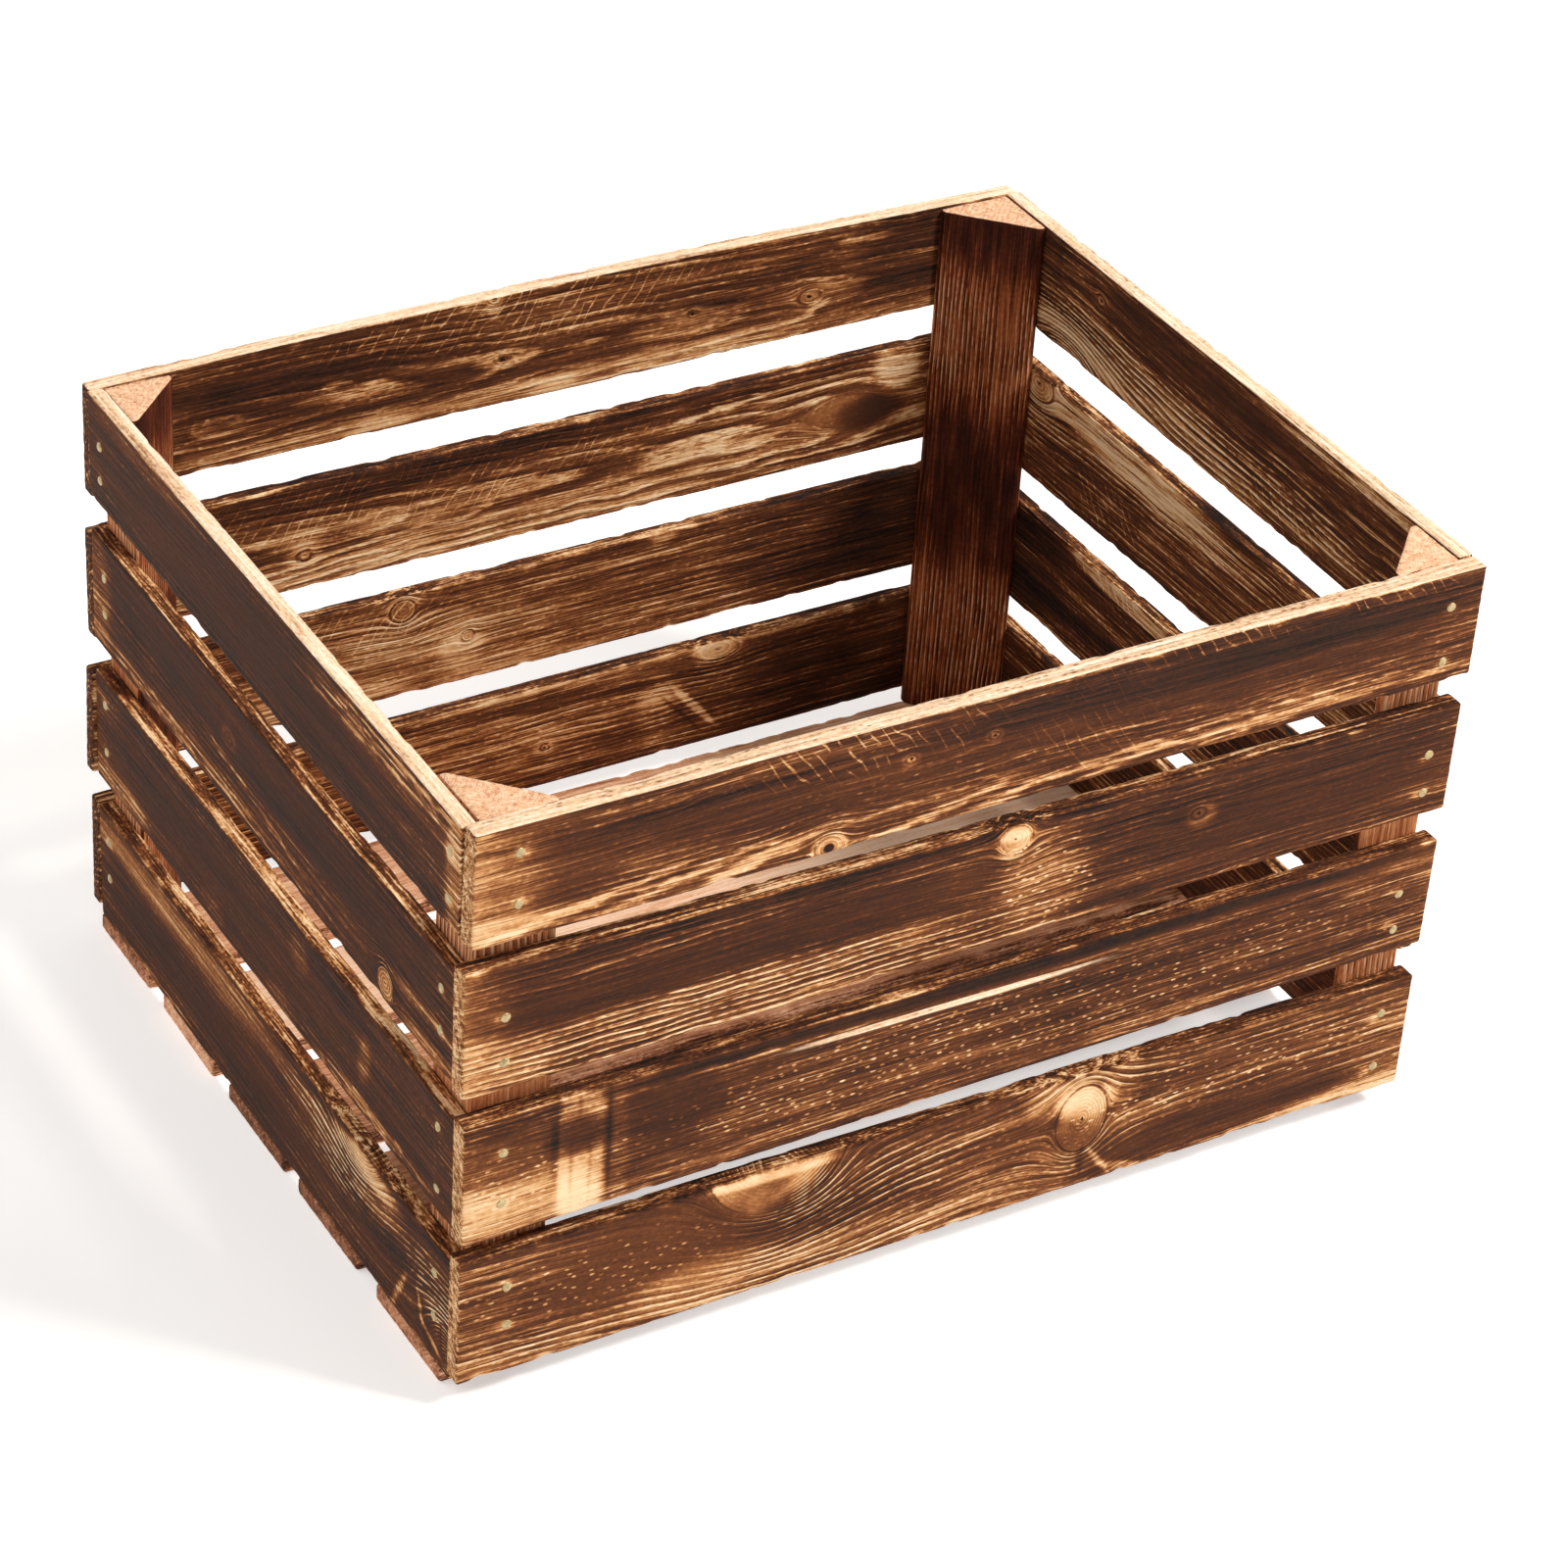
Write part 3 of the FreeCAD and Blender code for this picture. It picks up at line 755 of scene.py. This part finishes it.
def corners_of(node):
    """The lowest and the highest corner of a CAD node's box."""
    return tuple(Vector(corner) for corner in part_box(node))


def flat_bar(node, seed, length, width, thick):
    """A bar of oblong section for a slat or a board."""
    corners = ((0.0, 0.0), (width, 0.0), (width, thick), (0.0, thick))
    return sweep(f"{node}_wood", seed, rounded_outline(corners, STEP_ACROSS), length)


def add_piece(name, points, faces):
    """A smooth-shaded object in the scene, from points in metres."""
    mesh = bpy.data.meshes.new(name)
    mesh.from_pydata(points, [], faces)
    mesh.polygons.foreach_set("use_smooth", [True] * len(mesh.polygons))
    piece = bpy.data.objects.new(name, mesh)
    bpy.context.scene.collection.objects.link(piece)
    return piece


def build_bar(bar, place, along, across, through, layers):
    """Make the bar's mesh in the crate's frame, with its grain and burns as attributes."""
    origin, to_along, to_across, to_through = place
    axes = np.array((to_along, to_across, to_through))
    points = np.stack((along, across, through), axis=1) * MM @ axes + np.array(origin)
    piece = add_piece(bar.name, points.tolist(), bar.faces)
    for name, values in layers.items():
        kind, field = ("FLOAT_VECTOR", "vector") if values.ndim == 2 else ("FLOAT", "value")
        layer = piece.data.attributes.new(name, kind, "POINT")
        layer.data.foreach_set(field, values.astype(np.float32).ravel())
    return piece


def wood_layers(bar, look, flip, seen_outside):
    """Everything the wood materials read from a bar's surface."""
    course, knot_rings, knots, swirl = bend_grain(bar, look, flip)
    layers = lay_marks(bar, look, flip, seen_outside)
    in_knot = np.clip(knots["knot"] / 2.0, 0.0, 1.0)
    led = np.clip(1.0 + swirl * (1.0 - in_knot), 0.1, 2.0)
    layers["lines"] = layers["lines"] * led * (1.0 - 0.35 * in_knot)
    layers["contrast"] *= 1.0 - 0.5 * in_knot
    _, to_edge, _, _ = to_sides(bar)
    shift = np.array((bar.seed * 1.37, 0.0, bar.seed * 0.37))
    on_edge = near(to_edge, 0.35)
    mottle = noise(bar.along / 30.0, 0.0, bar.through / 3.0, bar.seed + 14)
    mottle = mottle + 0.6 * noise(bar.along / 9.0, 0.0, bar.through / 1.6, bar.seed + 15)
    edge_burn = look.edge_burn + 0.26 * mottle
    layers["contrast"] += 0.5 * on_edge
    layers["burn"] += 0.10 * near(to_edge, 2.5)
    layers["burn"] = layers["burn"] + (edge_burn - layers["burn"]) * on_edge - 0.6 * chipping(bar)
    return {
        "grain": np.stack((bar.along, course, bar.through), axis=1) * MM + shift,
        "flat": np.stack((bar.along, bar.across + bar.through, bar.through), axis=1) * MM + shift,
        "strokes": bar.along / SAW_PITCH + look.saw_lean * bar.across / SAW_CLIMB,
        "rings": grow_rings(bar, look, course, knot_rings),
        "rough": 0.7 * on_edge,
        **knots,
        **layers,
    }


def edge_heights(node, to_along):
    """The lower and upper edge of a CAD slat at its start and its end, in millimetres."""
    points = [vertex.co.copy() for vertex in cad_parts[node].data.vertices]
    travel = [point.dot(to_along) for point in points]
    near_start = [p.z / MM for p, t in zip(points, travel) if t < min(travel) + MM]
    near_end = [p.z / MM for p, t in zip(points, travel) if t > max(travel) - MM]
    return (min(near_start), min(near_end)), (max(near_start), max(near_end))


def torn_by_nails(bar, centre, wall):
    """How far the hammered nails have laid bare the wood round their heads."""
    to_along, outward = WALLS[wall]
    laid_bare = np.zeros_like(bar.along)
    for spot in nail_spots(f"nails_{wall}", outward):
        along = (spot - centre).dot(to_along) / MM + bar.length / 2
        across = (spot - centre).z / MM + bar.width / 2
        distance = np.hypot((bar.along - along) / 1.4, bar.across - across)
        ragged = 0.6 + 0.6 * noise(bar.along / 2.5, bar.across / 1.5, along, bar.seed)
        laid_bare = np.maximum(laid_bare, 0.35 * ragged * near(distance - 2.2, 1.0))
    return laid_bare * (bar.through > bar.thick / 2)


# The burn of the slats' cut ends and of the posts' outer faces, how broad the posts' blunted corners are,
# how far the posts' surface lies inside the CAD's, and the heights and half heights of the bands of painted
# light on the posts' inner faces: stretches made paler, with clearer rings, as if lit through the walls'
# gaps.
CUT_BURN = {"front": 0.17, "right": 0.35, "back": 0.60, "left": 0.30}
POST_OUTER_BURN = 0.16
POST_BLUNT = 3.0
POST_INSET = 0.12
POST_PAINTED_LIGHT_BANDS = ((48.0, 46.0), (223.0, 42.0))


def make_slat(wall, row, seed):
    """One slat of a wall, standing on edge."""
    node = f"{wall}_slat_{row}"
    look = LOOKS[wall][row - 1]
    to_along, outward = WALLS[wall]
    low_corner, high_corner = corners_of(node)
    centre = (low_corner + high_corner) / 2
    span = high_corner - low_corner
    length = abs(span.dot(to_along)) / MM
    thick = abs(span.dot(outward)) / MM
    low, high = edge_heights(node, to_along)
    width = (high[0] + high[1] - low[0] - low[1]) / 2
    bar = flat_bar(node, seed, length, width, thick)
    flip = 1.0 if max(to_along, key=abs) > 0 else -1.0
    across, through = shape_arrises(bar, look, low, high)
    along = shape_ends(bar, look)
    layers = wood_layers(bar, look, flip, wall not in SEEN_FROM_INSIDE)
    at_cut = near(np.minimum(bar.along, bar.length - bar.along), 0.3)
    layers["burn"] = layers["burn"] + (CUT_BURN[wall] - layers["burn"]) * at_cut
    layers["rough"] = np.maximum(layers["rough"], at_cut)
    layers["burn"] -= torn_by_nails(bar, centre, wall)
    if row == 1:
        layers["bare"] = np.maximum(layers["bare"], near(bar.width - bar.across, 0.5))
    start = centre - to_along * length * MM / 2 - outward * thick * MM / 2
    origin = Vector((start.x, start.y, 0.0))
    piece = build_bar(bar, (origin, to_along, UP, outward), along, across, through, layers)
    finish_piece(piece, node)
    return piece


def make_board(number, seed):
    """One bottom board, lying flat."""
    node = f"bottom_board_{number}"
    look = BOARD_LOOKS[number - 1]
    low_corner, high_corner = corners_of(node)
    length, width, thick = (high_corner - low_corner) / MM
    bar = flat_bar(node, seed, length, width, thick)
    across, through = shape_arrises(bar, look, (0.0, 0.0), (width, width))
    along = shape_ends(bar, look)
    layers = wood_layers(bar, look, 1.0, True)
    piece = build_bar(bar, (low_corner, RIGHT, BACK, UP), along, across, np.maximum(through, 0.0), layers)
    finish_piece(piece, node)
    return piece


def make_post(corner, to_across, to_through, seed):
    """One corner post: a triangular bar, its square corner outwards and its sharp corners blunted."""
    node = f"post_{corner}"
    low_corner, high_corner = corners_of(node)
    height = (high_corner.z - low_corner.z) / MM
    leg = (high_corner.x - low_corner.x) / MM
    corners = ((0, 0), (leg, 0), (leg, POST_BLUNT), (POST_BLUNT, leg), (0, leg))
    bar = sweep(f"{node}_wood", seed, rounded_outline(corners, STEP_ACROSS), height)
    layers = wood_layers(bar, POST_LOOK, 1.0, True)
    # Painted light: bands up the post are made paler, and their rings clearer, as if lit through the walls'
    # gaps.
    painted_light_band = sum(np.exp(-(((bar.along - middle) / half) ** 4)) for middle, half in POST_PAINTED_LIGHT_BANDS)
    blotch = noise(bar.along / 12.0, bar.across / 6.0, 0.0, seed)
    layers["burn"] = POST_LOOK.burn - 0.32 * painted_light_band + 0.08 * blotch
    layers["lines"] = POST_LOOK.lines * (0.4 + painted_light_band * (1.0 + 0.4 * blotch))
    outer = np.maximum(near(bar.across, 0.5), near(bar.through, 0.5))
    layers["burn"] = layers["burn"] + (POST_OUTER_BURN - layers["burn"]) * outer
    layers["rough"] = np.zeros_like(bar.along)
    layers["bare"] = near(bar.length - bar.along, 0.2)
    centre = (low_corner + high_corner) / 2
    half = leg * MM / 2
    start = centre - (to_across + to_through) * half
    place = (Vector((start.x, start.y, low_corner.z)), UP, to_across, to_through)
    ripple = POST_INSET * noise(bar.along / 25.0, bar.across / 5.0, bar.through / 5.0, seed + 1)
    middle = leg / 3
    away = np.stack((bar.across - middle, bar.through - middle), axis=1)
    away = away / np.maximum(np.linalg.norm(away, axis=1, keepdims=True), 1.0)
    across = bar.across - away[:, 0] * (POST_INSET + ripple)
    through = bar.through - away[:, 1] * (POST_INSET + ripple)
    piece = build_bar(bar, place, shape_ends(bar, POST_LOOK), across, through, layers)
    finish_piece(piece, node)
    return piece


def finish_piece(piece, node):
    """Let a piece ride with the crate, and hide the CAD node whose place it takes."""
    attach(piece, "root")
    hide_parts(node)


# Wire nails.

# A nail's sides, and its head: how deep it is, how far it may lean and sink, the distance that tells two
# heads apart, and how far a head's top may be from its wall's outermost plane.
NAIL_SIDES = 20
HEAD_DEPTH = 1.0
HEAD_LEAN = 0.16
HEAD_SINK = 0.12
HEADS_APART = 6.0
PLANE_SLACK = 0.05


def nail_spots(node, outward):
    """The middle of each nail head of a CAD node, on its outermost plane."""
    points = [vertex.co.copy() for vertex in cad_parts[node].data.vertices]
    outermost = max(point.dot(outward) for point in points)
    heads = []
    for point in points:
        if point.dot(outward) < outermost - PLANE_SLACK * MM:
            continue
        for head in heads:
            if (point - head[0]).length < HEADS_APART * MM:
                head.append(point)
                break
        else:
            heads.append([point])
    return [sum(head, Vector()) / len(head) for head in heads]


def nail_outline():
    """Half a nail's outline as (distance from its axis, height over its head's rim), head first."""
    head = ((0.0, 0.34), (0.8, 0.30), (1.6, 0.14), (2.05, -0.05), (2.32, -0.24), (2.4, -0.5))
    stem = ((2.3, -0.85), (1.2, -1.0), (1.0, -1.4), (1.0, -22.0), (0.2, -25.0))
    return head + stem


def make_nails(node, outward, seed):
    """All the nails of one wall as one piece: their heads lean a little, their stems go straight in."""
    points = []
    faces = []
    outline = nail_outline()
    flat = outward.orthogonal().normalized()
    other = outward.cross(flat)
    for index, spot in enumerate(nail_spots(node, outward)):
        lean = [float(noise(index * 3.1, axis * 5.3, 0.0, seed)) for axis in range(3)]
        axis = (outward + (flat * lean[0] + other * lean[1]) * HEAD_LEAN).normalized()
        side = axis.orthogonal().normalized()
        turn = axis.cross(side)
        top = spot + axis * (-HEAD_SINK + HEAD_SINK * lean[2]) * MM
        first = len(points)
        for radius, height in outline:
            way = axis if height >= -HEAD_DEPTH else outward
            for step in range(NAIL_SIDES):
                angle = 2 * math.pi * step / NAIL_SIDES
                dent = 1.0 + 0.03 * math.sin(angle * 3 + index)
                arm = side * math.cos(angle) + turn * math.sin(angle)
                points.append(top + (arm * max(radius, 0.05) * dent + way * height) * MM)
        for row in range(len(outline) - 1):
            for step in range(NAIL_SIDES):
                after = (step + 1) % NAIL_SIDES
                near_ring = first + row * NAIL_SIDES
                far_ring = near_ring + NAIL_SIDES
                faces.append((near_ring + step, far_ring + step, far_ring + after, near_ring + after))
        faces.append(tuple(first + step for step in range(NAIL_SIDES)))
        last = first + (len(outline) - 1) * NAIL_SIDES
        faces.append(tuple(last + step for step in reversed(range(NAIL_SIDES))))
    piece = add_piece(f"{node}_steel", [tuple(point) for point in points], faces)
    finish_piece(piece, node)
    return piece


# Materials.


def linear(part):
    """One sRGB part of a colour as a linear number."""
    return part / 12.92 if part < 0.04045 else ((part + 0.055) / 1.055) ** 2.4


def tone(code):
    """A colour written as in a web page, in Blender's linear numbers."""
    return tuple(linear(int(code[start : start + 2], 16) / 255) for start in (1, 3, 5)) + (1.0,)


class Graph:
    """Short names for the shader nodes the materials are made of."""

    def __init__(self, name):
        self.material = bpy.data.materials.new(name)
        self.material.use_nodes = True
        self.tree = self.material.node_tree
        self.shader = self.tree.nodes["Principled BSDF"]

    def link(self, value, socket):
        if isinstance(value, bpy.types.NodeSocket):
            self.tree.links.new(value, socket)
        else:
            socket.default_value = value

    def node(self, kind, **settings):
        node = self.tree.nodes.new(f"ShaderNode{kind}")
        for name, value in settings.items():
            setattr(node, name, value)
        return node

    def number(self, name):
        return self.node("Attribute", attribute_name=name).outputs["Fac"]

    def vector(self, name):
        return self.node("Attribute", attribute_name=name).outputs["Vector"]

    def maths(self, operation, *values):
        node = self.node("Math", operation=operation)
        for value, socket in zip(values, node.inputs):
            self.link(value, socket)
        return node.outputs[0]

    def add(self, *values):
        total = values[0]
        for value in values[1:]:
            total = self.maths("ADD", total, value)
        return total

    def times(self, first, second):
        return self.maths("MULTIPLY", first, second)

    def around(self, value, strength):
        """The value's swing about one half, made stronger."""
        return self.times(self.add(value, -0.5), strength)

    def stretch(self, vector, factors):
        node = self.node("VectorMath", operation="MULTIPLY")
        self.link(vector, node.inputs[0])
        node.inputs[1].default_value = factors
        return node.outputs[0]

    def noise(self, vector, factors, detail=1.0):
        node = self.node("TexNoise")
        self.link(self.stretch(vector, factors), node.inputs["Vector"])
        node.inputs["Scale"].default_value = 1.0
        node.inputs["Detail"].default_value = detail
        return node.outputs[0]

    def between(self, value, low, high, start=0.0, finish=1.0):
        """The value's way from low to high, eased, as a number from start to finish."""
        node = self.node("MapRange", interpolation_type="SMOOTHSTEP")
        self.link(value, node.inputs["Value"])
        for name, number in (("From Min", low), ("From Max", high), ("To Min", start), ("To Max", finish)):
            node.inputs[name].default_value = number
        return node.outputs[0]

    def ramp(self, value, stops):
        node = self.node("ValToRGB")
        self.link(value, node.inputs[0])
        elements = node.color_ramp.elements
        for index, (position, colour) in enumerate(stops):
            element = elements[index] if index < 2 else elements.new(position)
            element.position = position
            element.color = tone(colour)
        return node.outputs[0]

    def mix(self, share, first, second):
        node = self.node("Mix", data_type="RGBA")
        self.link(share, node.inputs["Factor"])
        self.link(first, node.inputs["A"])
        self.link(second, node.inputs["B"])
        return node.outputs["Result"]

    def bump(self, height, millimetres):
        node = self.node("Bump")
        node.inputs["Strength"].default_value = 1.0
        node.inputs["Distance"].default_value = millimetres * MM
        self.link(height, node.inputs["Height"])
        self.link(node.outputs[0], self.shader.inputs["Normal"])


SLAT_TONES = (
    (0.0, "#efd2aa"),
    (1.0, "#1b1210"),
    (0.2, "#d9ab7a"),
    (0.30, "#bf8856"),
    (0.39, "#976038"),
    (0.49, "#714226"),
    (0.60, "#58321d"),
    (0.73, "#452618"),
    (0.86, "#342016"),
)
SLAT_BARE_TONES = ((0.0, "#ffecd4"), (1.0, "#8f603c"), (0.5, "#e6c09a"))
POST_TONES = (
    (0.0, "#ecb890"),
    (1.0, "#230f0a"),
    (0.2, "#d08a5c"),
    (0.42, "#aa6038"),
    (0.62, "#64301c"),
    (0.80, "#3e1c12"),
)
POST_BARE_TONES = ((0.0, "#fbd6b4"), (1.0, "#9c6240"), (0.5, "#dba680"))
BOARD_TONES = (
    (0.0, "#ffdfc4"),
    (1.0, "#2a1a14"),
    (0.2, "#f2c09a"),
    (0.44, "#c88a66"),
    (0.68, "#774830"),
)

# How far the fibres push the rings about, in ring widths.
RING_WOBBLE = 0.45

# The burn at the pale end of a material's tones: below it the wood gets no paler.
PALEST = -0.25


def ring_lines(graph, grain, fibre):
    """The pale late wood of each ring, sharp on one side, and beside it a dark trough of charred early wood,
    darkened in colour also as painted shade under the raised line. Both are broken and faded along the
    grain."""
    phase = graph.maths("FRACT", graph.add(graph.number("rings"), graph.around(fibre, RING_WOBBLE)))
    rise = graph.between(phase, 0.48, 0.74)
    fall = graph.between(phase, 0.88, 0.98, 1.0, 0.0)
    groove_and_painted_shade = graph.between(phase, 0.02, 0.34, 1.0, 0.0)
    favour = graph.around(graph.number("lines"), 0.12)
    shown = graph.between(graph.add(graph.noise(grain, (8, 100, 100)), favour), 0.40, 0.62)
    broken = graph.between(graph.noise(grain, (170, 600, 600)), 0.34, 0.58, 0.35, 1.0)
    strength = graph.times(graph.times(shown, broken), graph.number("lines"))
    return graph.times(graph.times(rise, fall), strength), graph.times(groove_and_painted_shade, strength)


def torn_fibres(graph, flat, grit):
    """Short pale flecks in rows, where the saw tore the fibres."""
    cells = graph.node("TexVoronoi", voronoi_dimensions="2D")
    graph.link(graph.stretch(flat, (150, 350, 0)), cells.inputs["Vector"])
    cells.inputs["Scale"].default_value = 1.0
    cells.inputs["Randomness"].default_value = 0.8
    spread = graph.add(cells.outputs["Distance"], graph.around(grit, 0.30))
    dot = graph.between(spread, 0.10, 0.27, 1.0, 0.0)
    kept = graph.between(graph.noise(cells.outputs["Position"], (1.7, 1.3, 0)), 0.42, 0.60)
    return graph.times(dot, kept)


def saw_strokes(graph, flat, hair):
    """Slanting strokes of the saw, each broken into dashes by the grain."""
    drift = graph.around(graph.noise(flat, (60, 30, 30)), 2.2)
    stroke = graph.maths("FRACT", graph.add(graph.number("strokes"), drift))
    line = graph.between(graph.maths("ABSOLUTE", graph.add(graph.times(stroke, 2.0), -1.0)), 0.78, 0.90)
    field = graph.between(graph.noise(flat, (60, 90, 90)), 0.38, 0.52)
    dashes = graph.between(hair, 0.40, 0.58, 0.25, 1.0)
    return graph.times(graph.times(line, field), graph.times(dashes, graph.number("sawn")))


def scorched_wood(name, tones, bare_tones):
    """Sawn softwood under a flame: dark early wood, pale late-wood lines, torn fibres and saw marks."""
    graph = Graph(name)
    grain = graph.vector("grain")
    flat = graph.vector("flat")
    rough = graph.number("rough")
    band = graph.noise(grain, (4, 120, 120), 2.0)
    fibre = graph.noise(grain, (12, 380, 380), 2.0)
    hair = graph.noise(grain, (45, 1500, 1500))
    grit = graph.noise(flat, (420, 560, 560), 2.0)
    lines, grooves_and_painted_shade = ring_lines(graph, grain, fibre)
    dots = torn_fibres(graph, flat, grit)
    flecks = graph.times(dots, graph.number("torn"))
    strokes = saw_strokes(graph, flat, hair)
    grained = graph.add(graph.around(band, 0.60), graph.around(fibre, 0.85), graph.around(hair, 1.05))
    outline = graph.between(graph.maths("ABSOLUTE", graph.number("knot")), 0.25, 0.95, 0.20, 0.0)
    heart = graph.between(graph.number("heart"), 0.40, 0.60, 0.0, 0.7)
    fuzzy = graph.times(graph.around(grit, 1.0), graph.add(rough, 0.25))
    burn = graph.add(
        graph.number("burn"),
        graph.times(grained, graph.number("contrast")),
        graph.times(lines, -0.27),
        # Painted shade: the dark trough beside each pale line is darkened in colour as well as sunk in
        # relief.
        graph.times(grooves_and_painted_shade, 0.12),
        graph.times(flecks, -0.50),
        graph.times(strokes, -0.50),
        outline,
        heart,
        fuzzy,
    )
    scorched = graph.maths("DIVIDE", graph.add(burn, -PALEST), 1.0 - PALEST)
    burnt = graph.ramp(scorched, tones)
    plain = graph.add(
        0.30,
        graph.around(fibre, 1.2),
        graph.around(hair, 0.9),
        graph.times(lines, 0.26),
        graph.around(grit, 0.9),
        graph.times(dots, graph.between(band, 0.50, 0.62, 0.0, 0.45)),
    )
    clean = graph.ramp(plain, bare_tones)
    bare_edge = graph.add(graph.number("bare"), graph.around(fibre, 0.35))
    colour = graph.mix(graph.between(bare_edge, 0.44, 0.56), burnt, clean)
    graph.link(colour, graph.shader.inputs["Base Color"])
    graph.link(graph.between(burn, 0.2, 0.9, 0.85, 0.70), graph.shader.inputs["Roughness"])
    graph.shader.inputs["Specular IOR Level"].default_value = 0.10
    height = graph.add(
        graph.times(fibre, 0.8),
        graph.times(hair, 0.6),
        graph.times(lines, 0.5),
        graph.times(grooves_and_painted_shade, -0.4),
        graph.times(flecks, 0.8),
        graph.times(strokes, 0.5),
        graph.times(fuzzy, 1.2),
    )
    graph.bump(height, 0.6)
    return graph.material


def nail_steel():
    """Dull zinc-plated wire, a little yellowed, with darker hammer marks."""
    graph = Graph("nail_steel")
    place = graph.node("TexCoord").outputs["Object"]
    blotch = graph.noise(place, (500, 500, 500), 2.0)
    colour = graph.ramp(blotch, ((0.25, "#937f58"), (0.75, "#d8c69a"), (0.5, "#b8a378")))
    graph.link(colour, graph.shader.inputs["Base Color"])
    graph.shader.inputs["Metallic"].default_value = 0.55
    graph.link(graph.between(blotch, 0.3, 0.7, 0.35, 0.6), graph.shader.inputs["Roughness"])
    graph.bump(graph.noise(place, (1400, 1400, 1400)), 0.08)
    return graph.material


def floor_paint():
    """White, and a little lit from below like a light table, so that the crate's shadow stays pale."""
    graph = Graph("floor_paint")
    graph.shader.inputs["Base Color"].default_value = (0.80, 0.80, 0.80, 1.0)
    graph.shader.inputs["Roughness"].default_value = 0.9
    graph.shader.inputs["Emission Color"].default_value = (1.0, 1.0, 1.0, 1.0)
    graph.shader.inputs["Emission Strength"].default_value = 0.45
    return graph.material


# The stage.

CAMERA_AZIMUTH = math.radians(31.78)
CAMERA_ELEVATION = math.radians(33.97)
CAMERA_ROLL = math.radians(3.90)
CAMERA_DISTANCE = 2.2073
CAMERA_AIM = (0.0079, -0.0146, 0.1377)
CAMERA_LENS = 108.79
CAMERA_FILM = 36.0
CAMERA_REACH = 50.0
FLOOR_SIZE = 12.0
FLOOR_GAP = 0.0002
LAMP_AIM = Vector((0, 0, 0.15))


def add_camera():
    """The camera, a long lens turned a little about its own axis."""
    flat = math.cos(CAMERA_ELEVATION)
    view = Vector(
        (flat * math.sin(CAMERA_AZIMUTH), flat * math.cos(CAMERA_AZIMUTH), -math.sin(CAMERA_ELEVATION))
    )
    data = bpy.data.cameras.new("camera")
    data.sensor_width = CAMERA_FILM
    data.lens = CAMERA_LENS
    data.clip_end = CAMERA_REACH
    camera = bpy.data.objects.new("camera", data)
    level = view.to_track_quat("-Z", "Y").to_matrix().to_4x4()
    place = Vector(CAMERA_AIM) - view * CAMERA_DISTANCE
    camera.matrix_world = Matrix.Translation(place) @ level @ Matrix.Rotation(CAMERA_ROLL, 4, "Z")
    bpy.context.scene.collection.objects.link(camera)
    bpy.context.scene.camera = camera


def add_floor():
    """A flat floor, just under the crate."""
    half = FLOOR_SIZE / 2
    mesh = bpy.data.meshes.new("floor")
    corners = ((-half, -half, 0), (half, -half, 0), (half, half, 0), (-half, half, 0))
    mesh.from_pydata(corners, [], [(0, 1, 2, 3)])
    floor = bpy.data.objects.new("floor", mesh)
    floor.location.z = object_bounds()[0][2] - FLOOR_GAP
    bpy.context.scene.collection.objects.link(floor)
    mesh.materials.append(floor_paint())


def add_lamp(name, place, size, power, colour):
    """A square soft lamp that faces the crate."""
    data = bpy.data.lights.new(name, "AREA")
    data.size = size
    data.energy = power
    data.color = colour
    lamp = bpy.data.objects.new(name, data)
    toward = LAMP_AIM - Vector(place)
    lamp.matrix_world = Matrix.Translation(place) @ toward.to_track_quat("-Z", "Y").to_matrix().to_4x4()
    bpy.context.scene.collection.objects.link(lamp)


def add_lights():
    """A warm key from the front right and above, a fill from behind, and an even room."""
    add_lamp("key", (1.98, -1.98, 3.35), 0.9, 170.0, (1.0, 0.95, 0.89))
    add_lamp("fill", (-2.4, 1.8, 2.6), 2.4, 36.0, (1.0, 0.98, 0.95))
    world = bpy.data.worlds.new("room")
    world.use_nodes = True
    world.node_tree.nodes["Background"].inputs["Color"].default_value = (1.0, 0.955, 0.90, 1.0)
    world.node_tree.nodes["Background"].inputs["Strength"].default_value = 0.50
    bpy.context.scene.world = world
    bpy.context.scene.view_settings.view_transform = "Standard"


# Each piece has its own noise. Its seed counts on from these, for each wall, the posts and the boards.
WALL_SEED = 10
POST_SEED = 50
BOARD_SEED = 80
BOTTOM_NAILS_SEED = 9

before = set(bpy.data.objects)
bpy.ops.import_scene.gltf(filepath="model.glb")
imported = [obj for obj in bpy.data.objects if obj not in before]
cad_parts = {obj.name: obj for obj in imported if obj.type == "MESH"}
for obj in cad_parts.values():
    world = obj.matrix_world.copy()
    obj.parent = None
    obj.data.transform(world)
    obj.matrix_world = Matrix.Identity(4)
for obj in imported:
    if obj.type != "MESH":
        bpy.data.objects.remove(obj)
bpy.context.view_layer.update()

slat_wood = scorched_wood("flamed_slats", SLAT_TONES, SLAT_BARE_TONES)
post_wood = scorched_wood("post_wood", POST_TONES, POST_BARE_TONES)
board_wood = scorched_wood("bottom_wood", BOARD_TONES, SLAT_BARE_TONES)
steel = nail_steel()

for wall_index, wall_name in enumerate(WALLS):
    for slat_row in range(1, len(LOOKS[wall_name]) + 1):
        slat = make_slat(wall_name, slat_row, WALL_SEED * wall_index + 3 * slat_row)
        slat.data.materials.append(slat_wood)
    nails = make_nails(f"nails_{wall_name}", WALLS[wall_name][1], wall_index)
    nails.data.materials.append(steel)
bottom_nails = make_nails("nails_bottom", -UP, BOTTOM_NAILS_SEED)
bottom_nails.data.materials.append(steel)

for post_index, (post_corner, ways) in enumerate(POST_WAYS.items()):
    post = make_post(post_corner, *ways, POST_SEED + 5 * post_index)
    post.data.materials.append(post_wood)
for board_number in range(1, len(BOARD_LOOKS) + 1):
    board = make_board(board_number, BOARD_SEED + 5 * board_number)
    board.data.materials.append(board_wood)

add_camera()
add_floor()
add_lights()
